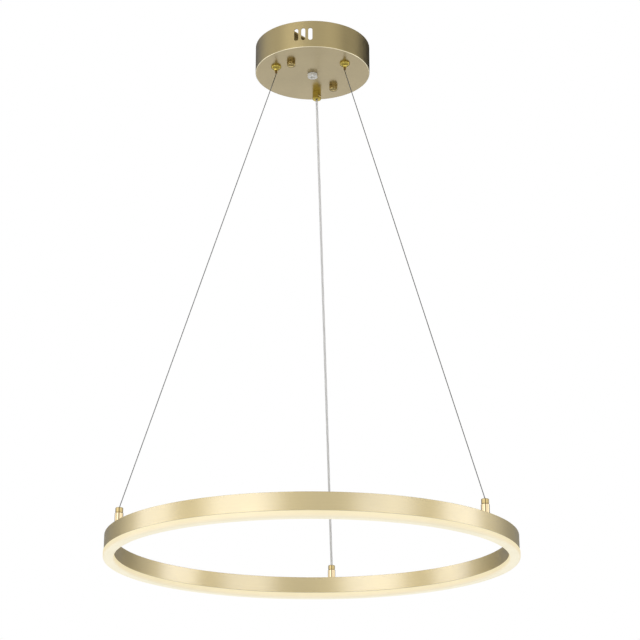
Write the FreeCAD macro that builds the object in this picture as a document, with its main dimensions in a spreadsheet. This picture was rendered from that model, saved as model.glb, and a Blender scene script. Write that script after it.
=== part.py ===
import FreeCAD, Part
import math
import os

import Sketcher
from FreeCAD import Placement, Rotation, Vector

# A hanging LED ring lamp, in millimetres. The origin is the middle of the ceiling plane and +Z points
# up, so the whole lamp lies below zero. The power cable hangs on the +Y side, the steel wires at the
# two other corners of an even triangle.

DRIVING_SIZES = {
    # Lamp as a whole
    "ring_diameter": 500.0,
    "hang_drop": 630.0,
    "grip_circle": 105.0,
    "rear_angle": 90.0,
    # Canopy
    "canopy_diameter": 152.0,
    "canopy_height": 38.0,
    "canopy_sheet": 1.0,
    "vent_width": 5.5,
    "vent_length": 17.5,
    "vent_pitch": 7.0,
    "vent_angle": -100.0,
    "hole_fit": 0.3,
    # Crossbar, studs and cap nuts
    "bar_length": 116.0,
    "bar_width": 24.0,
    "bar_thickness": 2.0,
    "bar_corner": 3.0,
    "bar_angle": 57.0,
    "stud_spacing": 88.9,
    "stud_diameter": 4.0,
    "stud_fit": 0.06,
    "thread_fit": 0.04,
    "stud_end_gap": 0.6,
    "screw_spacing": 60.0,
    "screw_hole": 4.5,
    "bar_centre_hole": 12.0,
    "bar_slot_width": 5.0,
    "bar_slot_length": 12.0,
    "bar_slot_centre": 16.0,
    "tab_length": 11.0,
    "tab_width": 12.0,
    "lock_nut_flats": 7.0,
    "lock_nut_height": 3.2,
    "cap_nut_diameter": 11.0,
    "cap_nut_height": 7.0,
    "cap_nut_depth": 5.4,
    "cap_nut_crown": 0.8,
    "earth_head_height": 2.4,
    "earth_screw_reach": 3.0,
    # Threaded stems shared by the wire grippers and the cord grip
    "stem_diameter": 10.0,
    "stem_nut_flats": 13.0,
    "stem_nut_height": 3.0,
    # Wire grippers
    "cone_diameter": 13.5,
    "cone_rim": 0.9,
    "cone_height": 6.2,
    "cone_neck": 5.2,
    "cone_waist": 8.8,
    "gripper_stem": 14.0,
    "nozzle_diameter": 3.2,
    "nozzle_reach": 3.8,
    "nozzle_flange": 4.6,
    "nozzle_flange_height": 1.0,
    "gripper_seat": 2.0,
    "chamber_height": 13.0,
    "seat_gap": 0.05,
    "slide_fit": 0.08,
    "spring_wire": 0.5,
    "spring_turns": 3.0,
    "wire_diameter": 1.2,
    "wire_fit": 0.2,
    "wire_bend": 6.0,
    "wire_corner": 1.5,
    "wire_end_gap": 0.22,
    "tail_height": 6.0,
    "crimp_flats": 2.4,
    "crimp_length": 4.0,
    # Cord grip and power cable
    "barrel_diameter": 11.6,
    "barrel_height": 12.0,
    "barrel_stem": 10.0,
    "cable_diameter": 3.0,
    "cable_fit": 0.15,
    "cable_bend": 15.0,
    "cable_corner": 2.6,
    "cable_below": 2.0,
    "grip_screw_diameter": 3.0,
    "grip_screw_head": 4.6,
    "grip_screw_head_height": 1.4,
    "grip_screw_drop": 8.0,
    "grip_screw_angle": -45.0,
    "grip_screw_slot": 0.7,
    "screw_point_gap": 0.1,
    "screw_head_gap": 0.15,
    # Plug in the middle of the underside
    "centre_plug_diameter": 12.5,
    "centre_plug_height": 5.0,
    "centre_plug_shank": 8.1,
    "centre_plug_shank_length": 4.0,
    # Driver and terminal block
    "driver_width": 36.0,
    "driver_height": 22.0,
    "driver_split": 14.0,
    "driver_angle": 150.0,
    "driver_offset": 41.0,
    "driver_clearance": 1.96,
    "driver_seam": 0.1,
    "pad_thickness": 1.0,
    "pad_inset": 1.6,
    "block_length": 30.0,
    "block_width": 15.0,
    "block_height": 13.0,
    "block_pole_pitch": 9.4,
    "block_angle": -60.0,
    "block_offset": 53.0,
    "block_entry": 3.4,
    "block_entry_height": 5.2,
    "block_screw": 3.0,
    "block_screw_length": 4.0,
    "lead_diameter": 2.0,
    "lead_gap": 0.06,
    "connector_length": 12.0,
    "connector_width": 14.0,
    "connector_height": 10.0,
    "connector_shift": 1.5,
    "connector_floor": 17.0,
    # Ring channel and lens
    "ring_width": 11.5,
    "ring_height": 20.5,
    "ring_wall": 1.3,
    "mouth_lip": 0.55,
    "mouth_lip_height": 3.0,
    "lens_drop": 7.5,
    "lens_overhang": 0.8,
    "lens_corner": 1.6,
    "lens_fit": 0.1,
    "lens_tongue_gap": 0.3,
    "strip_width": 8.0,
    "strip_thickness": 0.35,
    "strip_depth": 4.0,
    "chip_count": 48.0,
    "chip_width": 2.8,
    "chip_height": 3.5,
    "chip_depth": 0.8,
    "chip_gap": 0.02,
    # Posts on the ring
    "post_diameter": 10.0,
    "post_height": 10.6,
    "post_cap_diameter": 9.0,
    "post_cap_height": 6.2,
    "post_thread_depth": 6.0,
    "cap_bore": 3.2,
    "cap_throat": 1.8,
    "cap_shoulder": 1.8,
    "post_screw_flats": 7.0,
    "post_screw_head_height": 2.8,
}


class Size:
    """A number together with the sheet formula that it comes from."""

    def __init__(self, value, formula):
        self.value = value
        self.formula = formula

    def __add__(self, other):
        other = as_size(other)
        return Size(self.value + other.value, f"({self.formula} + {other.formula})")

    def __sub__(self, other):
        other = as_size(other)
        return Size(self.value - other.value, f"({self.formula} - {other.formula})")

    def __mul__(self, other):
        other = as_size(other)
        return Size(self.value * other.value, f"({self.formula} * {other.formula})")

    def __truediv__(self, other):
        other = as_size(other)
        return Size(self.value / other.value, f"({self.formula} / {other.formula})")

    def __neg__(self):
        return Size(-self.value, f"(0 - {self.formula})")


def as_size(number):
    if isinstance(number, Size):
        return number
    return Size(float(number), repr(float(number)))


def cosine(angle):
    return Size(math.cos(math.radians(angle.value)), f"cos({angle.formula})")


def sine(angle):
    return Size(math.sin(math.radians(angle.value)), f"sin({angle.formula})")


document = FreeCAD.newDocument("RingLamp")
sheet = document.addObject("Spreadsheet::Sheet", "Sizes")
size = {}
for row, (alias, number) in enumerate(DRIVING_SIZES.items(), start=1):
    sheet.set(f"B{row}", str(number))
    sheet.setAlias(f"B{row}", alias)
    size[alias] = Size(number, f"Sizes.{alias}")
document.recompute()

parts = []


def finish(item, label):
    """Give a sub-part its name and put it on the list of what is written."""
    item.Label = label
    parts.append(item)
    return item


def bind(item, prop, length):
    item.setExpression(prop, as_size(length).formula)


def place(item, across=0.0, depth=0.0, up=0.0, turn=None):
    """Put a sub-part at a point, turned about the upright axis; every figure follows the sheet."""
    across, depth, up = as_size(across), as_size(depth), as_size(up)
    turn = as_size(0.0) if turn is None else turn
    item.Placement = Placement(
        Vector(across.value, depth.value, up.value), Rotation(Vector(0, 0, 1), turn.value)
    )
    bind(item, "Placement.Base.x", across)
    bind(item, "Placement.Base.y", depth)
    bind(item, "Placement.Base.z", up)
    if turn.formula != "0.0":
        bind(item, "Placement.Rotation.Angle", turn)


def plane_of(body, role):
    for feature in body.Origin.OriginFeatures:
        if feature.Role == role:
            return feature
    raise ValueError(role)


def new_sketch(body, name, role="XZ_Plane"):
    sketch = body.newObject("Sketcher::SketchObject", name)
    sketch.AttachmentSupport = [(plane_of(body, role), "")]
    sketch.MapMode = "FlatFace"
    return sketch


def pin_point(sketch, edge, end, across, up):
    """Hold one end of a sketch line at a place that is worked out from the sheet."""
    for kind, axis, distance in (("DistanceX", -2, across), ("DistanceY", -1, up)):
        distance = as_size(distance)
        if distance.value == 0.0:
            sketch.addConstraint(Sketcher.Constraint("PointOnObject", edge, end, axis))
            continue
        number = sketch.addConstraint(Sketcher.Constraint(kind, -1, 1, edge, end, distance.value))
        bind(sketch, f"Constraints[{number}]", distance)


def draw_outline(sketch, corners):
    """A closed outline. A corner is (across, up), or (across, up, radius, sense) for a round stretch
    that ends there; sense is 1 where the arc runs anticlockwise and -1 where it runs clockwise."""
    count = len(corners)
    points = [Vector(as_size(c[0]).value, as_size(c[1]).value, 0) for c in corners]
    edges = []
    for index in range(count):
        start = points[index]
        target = corners[(index + 1) % count]
        end = points[(index + 1) % count]
        if len(target) == 2:
            edges.append(sketch.addGeometry(Part.LineSegment(start, end), False))
            continue
        radius, sense = as_size(target[2]).value, target[3]
        chord = end - start
        middle = (start + end) * 0.5
        height = math.sqrt(max(radius**2 - (chord.Length / 2) ** 2, 0.0))
        normal = Vector(-chord.y, chord.x, 0).normalize()
        centre = middle + normal * height * sense
        out = (middle - centre).normalize() if height > 1e-9 else normal * -sense
        edges.append(sketch.addGeometry(Part.Arc(start, centre + out * radius, end), False))
    for index in range(count):
        following = (index + 1) % count
        first = corners[following]
        second = corners[(index + 2) % count]
        first_end = 2 if len(first) == 2 or first[3] > 0 else 1
        second_start = 1 if len(second) == 2 or second[3] > 0 else 2
        sketch.addConstraint(
            Sketcher.Constraint(
                "Coincident", edges[index], first_end, edges[following], second_start
            )
        )
        pin_point(sketch, edges[index], first_end, first[0], first[1])
    for index in range(count):
        target = corners[(index + 1) % count]
        if len(target) == 2:
            continue
        radius = as_size(target[2])
        chord = points[(index + 1) % count] - points[index]
        if abs(radius.value - chord.Length / 2) < 1e-6:
            level = "Horizontal" if abs(chord.y) < 1e-6 else "Vertical"
            sketch.addConstraint(Sketcher.Constraint(level, edges[index], 3, edges[index], 1))
            continue
        number = sketch.addConstraint(Sketcher.Constraint("Radius", edges[index], radius.value))
        bind(sketch, f"Constraints[{number}]", radius)


def turned(name, corners):
    """A body turned about the upright axis from an outline of radius and height."""
    body = document.addObject("PartDesign::Body", name)
    sketch = new_sketch(body, name + "Outline")
    draw_outline(sketch, corners)
    turn = body.newObject("PartDesign::Revolution", name + "Turn")
    turn.Profile = (sketch, [""])
    turn.ReferenceAxis = (sketch, ["V_Axis"])
    turn.Angle = 360.0
    body.Tip = turn
    document.recompute()
    return body


def padded(name, corners, height, role="XY_Plane"):
    """A body raised from a straight-sided outline."""
    body = document.addObject("PartDesign::Body", name)
    sketch = new_sketch(body, name + "Outline", role)
    draw_outline(sketch, corners)
    pad = body.newObject("PartDesign::Pad", name + "Pad")
    pad.Profile = (sketch, [""])
    bind(pad, "Length", height)
    body.Tip = pad
    document.recompute()
    return body


def add_circle(sketch, across, up, diameter):
    across, up, diameter = as_size(across), as_size(up), as_size(diameter)
    centre = Vector(across.value, up.value, 0)
    circle = sketch.addGeometry(Part.Circle(centre, Vector(0, 0, 1), diameter.value / 2), False)
    pin_point(sketch, circle, 3, across, up)
    number = sketch.addConstraint(Sketcher.Constraint("Diameter", circle, diameter.value))
    bind(sketch, f"Constraints[{number}]", diameter)


def add_slot(sketch, across, up, width, length, upright):
    """An obround, its middle at a point, standing or lying."""
    half = as_size(width) / 2
    reach = (as_size(length) - as_size(width)) / 2
    across, up = as_size(across), as_size(up)
    if upright:
        corners = [
            (across + half, up - reach),
            (across + half, up + reach),
            (across - half, up + reach, half, 1),
            (across - half, up - reach),
        ]
        corners[0] = (across + half, up - reach, half, 1)
    else:
        corners = [
            (across + reach, up + half),
            (across - reach, up + half),
            (across - reach, up - half, half, 1),
            (across + reach, up - half),
        ]
        corners[0] = (across + reach, up + half, half, 1)
    draw_outline(sketch, corners)


def cut_through(body, name, sketch, depth, reverse=False):
    """Pocket a sketch into a body and make sure that it takes material away."""
    before = body.Shape.Volume
    pocket = body.newObject("PartDesign::Pocket", name)
    pocket.Profile = (sketch, [""])
    pocket.Reversed = reverse
    bind(pocket, "Length", depth)
    body.Tip = pocket
    document.recompute()
    if not body.Shape.Volume < before:
        raise RuntimeError(f"{name} cuts nothing")
    return pocket


def pattern(body, name, feature, count, angle):
    """Repeat a feature about the upright axis of its body."""
    before = body.Shape.Volume
    repeat = body.newObject("PartDesign::PolarPattern", name)
    repeat.Originals = [feature]
    repeat.Axis = (plane_of(body, "Z_Axis"), [""])
    repeat.Occurrences = count
    if isinstance(angle, Size):
        bind(repeat, "Angle", angle)
    else:
        repeat.Angle = angle
    body.Tip = repeat
    document.recompute()
    if not body.Shape.Volume < before:
        raise RuntimeError(f"{name} repeats nothing")
    return repeat


def aim_upright(sketch, angle):
    """Turn a sketch on the front plane about the upright axis until it faces an angle."""
    turn = angle + 450
    sketch.AttachmentOffset = Placement(Vector(0, 0, 0), Rotation(Vector(0, 1, 0), turn.value))
    bind(sketch, "AttachmentOffset.Rotation.Angle", turn)


def aim_flat(sketch, angle):
    """Turn a sketch on the floor plane about the upright axis."""
    sketch.AttachmentOffset = Placement(Vector(0, 0, 0), Rotation(Vector(0, 0, 1), angle.value))
    bind(sketch, "AttachmentOffset.Rotation.Angle", angle)


def hexagon(flats):
    """Corners of a hexagon with two of its sides facing left and right."""
    reach = as_size(flats) / 2
    corner = reach / math.cos(math.radians(30))
    return [
        (reach, -corner / 2),
        (reach, corner / 2),
        (0, corner),
        (-reach, corner / 2),
        (-reach, -corner / 2),
        (0, -corner),
    ]


def hex_nut(name, flats, height, bore):
    body = padded(name, hexagon(flats), height)
    sketch = new_sketch(body, name + "Bore", "XY_Plane")
    add_circle(sketch, 0, 0, bore)
    cut_through(body, name + "Tapping", sketch, height, reverse=True)
    return body


def tube_length(points):
    """Straight runs joined by tangent arcs: returns the edges, the length and the arc radii."""
    edges, radii, length = [], [], 0.0
    start = points[0]
    for index in range(1, len(points) - 1):
        before, corner, after = points[index - 1], points[index], points[index + 1]
        into = (corner - before).normalize()
        out = (after - corner).normalize()
        turn = into.getAngle(out)
        run = min((corner - before).Length, (after - corner).Length)
        radius = 0.45 * run / math.tan(turn / 2)
        setback = 0.45 * run
        first = corner - into * setback
        last = corner + out * setback
        towards = (out - into).normalize()
        middle = corner + towards * (radius / math.cos(turn / 2) - radius)
        edges.append(Part.LineSegment(start, first).toShape())
        edges.append(Part.Arc(first, middle, last).toShape())
        length += (first - start).Length + radius * turn
        radii.append(radius)
        start = last
    edges.append(Part.LineSegment(start, points[-1]).toShape())
    length += (points[-1] - start).Length
    return edges, length, radii


def cord(name, points, diameter, sides):
    """A thin lead along its route, with a many-sided section."""
    edges, length, radii = tube_length(points)
    along = (points[1] - points[0]).normalize()
    section = polygon_section(points[0], along, diameter / 2, sides)
    area = sides / 2 * (diameter / 2) ** 2 * math.sin(2 * math.pi / sides)
    tube = Part.Wire(edges).makePipeShell([section], True, False)
    listed = ", ".join(f"{radius:.1f}" for radius in radii)
    share = tube.Volume / (area * length)
    print(f"{name}: {length:.0f} mm long, bends {listed} mm, volume ratio {share:.3f}")
    return tube


def shape_part(name, shape):
    item = document.addObject("Part::Feature", name)
    item.Shape = shape
    return finish(item, name)


# Heights and radii that several pieces share
plate_under = -size["canopy_height"]
plate_top = plate_under + size["canopy_sheet"]
ring_top = plate_under - size["hang_drop"]
canopy_radius = size["canopy_diameter"] / 2
ring_radius = size["ring_diameter"] / 2
ring_inner = ring_radius - size["ring_width"]
ring_middle = ring_radius - size["ring_width"] / 2
grip_radius = size["grip_circle"] / 2
stud_radius = size["stud_diameter"] / 2
wire_hole = size["wire_diameter"] / 2 + size["wire_fit"]
cable_hole = size["cable_diameter"] / 2 + size["cable_fit"]
nozzle_mouth = plate_under - size["cone_height"] - size["nozzle_reach"]
barrel_tip = plate_under - size["barrel_height"]
gripper_top = plate_top + size["gripper_stem"]
cap_top = ring_top + size["post_height"] + size["post_cap_height"]

# The driver fits lengthways between the stem nuts of two grips
half_sixth = as_size(30.0)
grip_spacing = size["grip_circle"] * cosine(half_sixth)
nut_corners = size["stem_nut_flats"] / cosine(half_sixth)
driver_length = grip_spacing - nut_corners - size["driver_clearance"] * 2

WIRE_SIDES = {"left": size["rear_angle"] + 120, "right": size["rear_angle"] + 240}
ALL_SIDES = {**WIRE_SIDES, "rear": size["rear_angle"]}


def on_circle(radius, angle):
    return radius * cosine(angle), radius * sine(angle)


# Canopy: a pressed cup, open at the ceiling, with three vent slots in its side


def make_canopy():
    sheet_metal = size["canopy_sheet"]
    inner = canopy_radius - sheet_metal
    cup = turned(
        "canopy_cup",
        [
            (0, 0),
            (canopy_radius, 0),
            (canopy_radius, size["canopy_height"]),
            (inner, size["canopy_height"]),
            (inner, sheet_metal),
            (0, sheet_metal),
        ],
    )
    vents = new_sketch(cup, "VentOutline")
    aim_upright(vents, size["vent_angle"])
    add_slot(vents, 0, size["canopy_height"] / 2, size["vent_width"], size["vent_length"], True)
    vent = cut_through(cup, "Vent", vents, canopy_radius + 1, reverse=True)
    pattern(cup, "VentRow", vent, 3, size["vent_pitch"] * 2)
    stems = new_sketch(cup, "StemHoleOutline", "XY_Plane")
    aim_flat(stems, size["rear_angle"])
    add_circle(stems, grip_radius, 0, size["stem_diameter"] + size["hole_fit"] * 2)
    stem = cut_through(cup, "StemHole", stems, sheet_metal + 1, reverse=True)
    pattern(cup, "StemHoles", stem, 3, 360.0)
    studs = new_sketch(cup, "StudHoleOutline", "XY_Plane")
    aim_flat(studs, size["bar_angle"])
    for sense in (1, -1):
        clear = size["stud_diameter"] + size["hole_fit"] * 2
        add_circle(studs, size["stud_spacing"] / 2 * sense, 0, clear)
    cut_through(cup, "StudHoles", studs, sheet_metal + 1, reverse=True)
    middle = new_sketch(cup, "PlugHoleOutline", "XY_Plane")
    add_circle(middle, 0, 0, size["centre_plug_shank"] + size["hole_fit"] * 2)
    cut_through(cup, "PlugHole", middle, sheet_metal + 1, reverse=True)
    place(cup, up=plate_under)
    finish(cup, "canopy_cup")


# Crossbar against the ceiling, its studs, nuts and earth screw


def make_crossbar():
    long_half = size["bar_length"] / 2
    half = size["bar_width"] / 2
    corner = size["bar_corner"]
    bar = padded(
        "mounting_crossbar",
        [
            (long_half, -half + corner),
            (long_half, half - corner),
            (long_half - corner, half),
            (-long_half + corner, half),
            (-long_half, half - corner),
            (-long_half, -half + corner),
            (-long_half + corner, -half),
            (long_half - corner, -half),
        ],
        size["bar_thickness"],
    )
    holes = new_sketch(bar, "BarHoleOutline", "XY_Plane")
    add_circle(holes, 0, 0, size["bar_centre_hole"])
    for sense in (1, -1):
        add_circle(holes, size["screw_spacing"] / 2 * sense, 0, size["screw_hole"])
        tapped = size["stud_diameter"] + size["thread_fit"] * 2
        add_circle(holes, size["stud_spacing"] / 2 * sense, 0, tapped)
        slot_centre = size["bar_slot_centre"] * sense
        add_slot(holes, slot_centre, 0, size["bar_slot_width"], size["bar_slot_length"], False)
    cut_through(bar, "BarHoles", holes, size["bar_thickness"] + 1, reverse=True)
    tab_half = size["tab_width"] / 2
    tab = new_sketch(bar, "EarthTabOutline", "XY_Plane")
    draw_outline(
        tab,
        [
            (tab_half, -half),
            (tab_half, -half + size["bar_thickness"]),
            (-tab_half, -half + size["bar_thickness"]),
            (-tab_half, -half),
        ],
    )
    fold = bar.newObject("PartDesign::Pad", "EarthTab")
    fold.Profile = (tab, [""])
    fold.Reversed = True
    bind(fold, "Length", size["tab_length"])
    bar.Tip = fold
    document.recompute()
    hole = new_sketch(bar, "EarthHoleOutline")
    tapped = size["stud_diameter"] + size["thread_fit"] * 2
    add_circle(hole, 0, -size["tab_length"] / 2, tapped)
    cut_through(bar, "EarthHole", hole, half + 1, reverse=True)
    place(bar, up=-size["bar_thickness"], turn=size["bar_angle"])
    finish(bar, "mounting_crossbar")


def make_studs():
    reach = size["canopy_height"] + size["cap_nut_depth"] - size["stud_end_gap"]
    studs, nuts = [], []
    for sense in (1, -1):
        across, depth = on_circle(size["stud_spacing"] / 2 * sense, size["bar_angle"])
        stud = document.addObject("Part::Cylinder", "Stud")
        bind(stud, "Radius", stud_radius)
        bind(stud, "Height", reach)
        place(stud, across, depth, -reach)
        studs.append(stud)
        bore = size["stud_diameter"] + size["thread_fit"] * 2
        nut = hex_nut("StudNut", size["lock_nut_flats"], size["lock_nut_height"], bore)
        place(nut, across, depth, -size["bar_thickness"] - size["lock_nut_height"], size["bar_angle"])
        nuts.append(nut)
    finish(group("CanopyStuds", studs), "canopy_studs")
    finish(group("StudNuts", nuts), "stud_lock_nuts")


def group(name, items):
    """Several equal solids as one sub-part."""
    compound = document.addObject("Part::Compound", name)
    compound.Links = items
    document.recompute()
    return compound


def make_cap_nuts():
    radius, height = size["cap_nut_diameter"] / 2, size["cap_nut_height"]
    bore, depth = stud_radius + size["stud_fit"], size["cap_nut_depth"]
    for name, sense in (("cap_nut_rear", 1), ("cap_nut_front", -1)):
        nut = turned(
            name,
            [
                (bore, 0),
                (radius, 0),
                (radius, -height + size["cap_nut_crown"]),
                (radius - size["cap_nut_crown"], -height),
                (0, -height),
                (0, -depth),
                (bore, -depth),
            ],
        )
        across, along = on_circle(size["stud_spacing"] / 2 * sense, size["bar_angle"])
        place(nut, across, along, plate_under)
        finish(nut, name)


def make_earth_screw():
    """Hexagon head screw through the crossbar's tab, its axis square to the bar."""
    head_height = size["earth_head_height"]
    screw = padded("EarthScrew", hexagon(size["lock_nut_flats"]), head_height)
    shank = new_sketch(screw, "EarthShankOutline", "XY_Plane")
    add_circle(shank, 0, 0, size["stud_diameter"])
    shaft = screw.newObject("PartDesign::Pad", "EarthShank")
    shaft.Profile = (shank, [""])
    shaft.Reversed = True
    bind(shaft, "Length", size["bar_thickness"] + size["earth_screw_reach"])
    screw.Tip = shaft
    document.recompute()
    angle = size["bar_angle"] - 90
    across, depth = on_circle(size["bar_width"] / 2, angle)
    up = -size["bar_thickness"] - size["tab_length"] / 2
    turn = Rotation(Vector(0, 0, 1), angle.value) * Rotation(Vector(0, 1, 0), 90)
    screw.Placement = Placement(Vector(across.value, depth.value, up.value), turn)
    bind(screw, "Placement.Base.x", across)
    bind(screw, "Placement.Base.y", depth)
    bind(screw, "Placement.Base.z", up)
    finish(screw, "earth_screw")


# Wire grippers: a cone on a threaded stem, with a sprung release nozzle sliding in it


def make_gripper(side, angle):
    across, depth = on_circle(grip_radius, angle)
    rim, cone = size["cone_rim"], size["cone_diameter"] / 2
    height, neck = size["cone_height"], size["cone_neck"] / 2
    stem = size["stem_diameter"] / 2
    nozzle = size["nozzle_diameter"] / 2
    nozzle_guide = nozzle + size["slide_fit"]
    flange = size["nozzle_flange"] / 2
    chamber = flange + size["slide_fit"]
    stem_top = size["canopy_sheet"] + size["gripper_stem"]
    seat = -size["gripper_seat"]
    ceiling = size["chamber_height"] + seat
    body = turned(
        f"GripperBody{side}",
        [
            (nozzle_guide, -height),
            (neck, -height),
            (size["cone_waist"] / 2, -rim),
            (cone, -rim),
            (cone, 0),
            (stem, 0),
            (stem, stem_top),
            (wire_hole, stem_top),
            (wire_hole, ceiling),
            (chamber, ceiling),
            (chamber, seat),
            (nozzle_guide, seat),
        ],
    )
    place(body, across, depth, plate_under)

    tube = turned(
        f"gripper_{side}_nozzle",
        [
            (wire_hole, -height - size["nozzle_reach"]),
            (nozzle, -height - size["nozzle_reach"]),
            (nozzle, seat + size["seat_gap"]),
            (flange, seat + size["seat_gap"]),
            (flange, seat + size["nozzle_flange_height"]),
            (wire_hole, seat + size["nozzle_flange_height"]),
        ],
    )
    place(tube, across, depth, plate_under)
    finish(tube, f"gripper_{side}_nozzle")

    low = seat + size["nozzle_flange_height"] + size["seat_gap"]
    high = ceiling - size["seat_gap"]
    wire = size["spring_wire"].value
    spring = document.addObject("Part::Feature", f"gripper_{side}_spring")
    spring.Shape = square_spring(
        flange.value - wire / 2, low.value, high.value, wire, size["spring_turns"].value
    )
    place(spring, across, depth, plate_under, angle)
    finish(spring, f"gripper_{side}_spring")
    return body


def square_spring(radius, low, high, wire, turns):
    """A small coil of square wire, in short straight lengths round the wire's hole."""
    half, steps = wire / 2, int(round(turns * 8))
    rise = (high - low - wire) / steps
    path = []
    for step in range(steps + 1):
        angle = 2 * math.pi * step / 8
        path.append(
            Vector(radius * math.cos(angle), radius * math.sin(angle), low + half + rise * step)
        )
    corners = [(-half, -half), (half, -half), (half, half), (-half, half), (-half, -half)]
    section = Part.makePolygon([path[0] + Vector(out, 0, up) for out, up in corners])
    return Part.makePolygon(path).makePipeShell([section], True, True, 1)


def make_stem_nuts():
    """The nuts that hold the grippers and the cord grip in the canopy."""
    nuts = []
    for side, angle in ALL_SIDES.items():
        bore = size["stem_diameter"] + size["thread_fit"] * 2
        nut = hex_nut(f"StemNut{side}", size["stem_nut_flats"], size["stem_nut_height"], bore)
        across, depth = on_circle(grip_radius, angle)
        place(nut, across, depth, plate_top, angle)
        nuts.append(nut)
    finish(group("StemNuts", nuts), "stem_nuts")


# Cord grip for the power cable, with a clamp screw in its side


def make_cord_grip():
    angle = size["rear_angle"]
    across, depth = on_circle(grip_radius, angle)
    barrel, stem = size["barrel_diameter"] / 2, size["stem_diameter"] / 2
    height = size["barrel_height"]
    body = turned(
        "cord_grip_body",
        [
            (cable_hole, -height),
            (barrel, -height),
            (barrel, 0),
            (stem, 0),
            (stem, size["canopy_sheet"] + size["barrel_stem"]),
            (cable_hole, size["canopy_sheet"] + size["barrel_stem"]),
        ],
    )
    side = new_sketch(body, "GripScrewHole")
    aim_upright(side, size["grip_screw_angle"])
    tapped = size["grip_screw_diameter"] + size["stud_fit"] * 2
    add_circle(side, 0, -size["grip_screw_drop"], tapped)
    cut_through(body, "GripScrewTapping", side, barrel + 1, reverse=True)
    place(body, across, depth, plate_under)
    finish(body, "cord_grip_body")

    thread = size["grip_screw_diameter"] / 2
    head = size["grip_screw_head"] / 2
    start = cable_hole + size["screw_point_gap"]
    seat = barrel + size["screw_head_gap"]
    top = seat + size["grip_screw_head_height"]
    screw = turned(
        "cord_grip_screw",
        [(0, start), (thread, start), (thread, seat), (head, seat), (head, top), (0, top)],
    )
    slot = new_sketch(screw, "GripScrewSlot")
    half = size["grip_screw_slot"] / 2
    low = top - size["grip_screw_slot"]
    draw_outline(slot, [(half, low), (half, top + 1), (-half, top + 1), (-half, low)])
    kerf = cut_through(screw, "GripScrewKerf", slot, head * 2 + 2)
    kerf.Midplane = True
    document.recompute()
    turn = Rotation(Vector(0, 0, 1), size["grip_screw_angle"].value)
    turn = turn * Rotation(Vector(0, 1, 0), 90)
    up = plate_under - size["grip_screw_drop"]
    screw.Placement = Placement(Vector(across.value, depth.value, up.value), turn)
    bind(screw, "Placement.Base.x", across)
    bind(screw, "Placement.Base.y", depth)
    bind(screw, "Placement.Base.z", up)
    finish(screw, "cord_grip_screw")


def make_centre_plug():
    """Nylon plug that closes the middle hole: a six-sided head and a round shank."""
    height = size["centre_plug_height"]
    head = padded("centre_plug", hexagon(size["centre_plug_diameter"]), height)
    shank = new_sketch(head, "PlugShankOutline", "XY_Plane")
    add_circle(shank, 0, 0, size["centre_plug_shank"])
    stub = head.newObject("PartDesign::Pad", "PlugShank")
    stub.Profile = (shank, [""])
    bind(stub, "Length", height + size["canopy_sheet"] + size["centre_plug_shank_length"])
    head.Tip = stub
    document.recompute()
    place(head, up=plate_under - height)
    finish(head, "centre_plug")


# Steel wires and power cable. Each hangs in three lengths: one held upright in its grip, one that
# bends and runs slanting down to the ring, and one held in the ring's post.


def polygon_section(centre, along, reach, sides):
    """A many-sided section, which stands for a round one on thin wires."""
    side = Vector(0, 0, 1) if abs(along.z) < 0.9 else Vector(1, 0, 0)
    side = (side - along * side.dot(along)).normalize()
    other = along.cross(side)
    corners = []
    for step in range(sides + 1):
        angle = 2 * math.pi * (step % sides) / sides
        corners.append(centre + side * (reach * math.cos(angle)) + other * (reach * math.sin(angle)))
    return Part.makePolygon(corners)


def straight_run(start, end, diameter, sides):
    along = end - start
    face = Part.Face(polygon_section(start, along.normalize(), diameter / 2, sides))
    return face.extrude(end - start)


def hanging_run(name, points, radii, diameter, sides):
    """Straight runs joined by tangent arcs of a given radius at each inner corner."""
    edges, start = [], points[0]
    for corner, before, after, radius in zip(points[1:-1], points[:-2], points[2:], radii):
        into, out = (corner - before).normalize(), (after - corner).normalize()
        turn = into.getAngle(out)
        setback = radius * math.tan(turn / 2)
        first, last = corner - into * setback, corner + out * setback
        towards = (out - into).normalize()
        middle = corner + towards * (radius / math.cos(turn / 2) - radius)
        edges.append(Part.LineSegment(start, first).toShape())
        edges.append(Part.Arc(first, middle, last).toShape())
        start = last
    edges.append(Part.LineSegment(start, points[-1]).toShape())
    along = (points[1] - points[0]).normalize()
    section = polygon_section(points[0], along, diameter / 2, sides)
    shape = Part.Wire(edges).makePipeShell([section], True, False)
    length = sum(edge.Length for edge in edges)
    print(f"{name}: {length:.1f} mm from {points[0].z:.2f} down to {points[-1].z:.2f}")
    return shape


def upright_point(across, depth, up):
    return Vector(as_size(across).value, as_size(depth).value, as_size(up).value)


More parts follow.
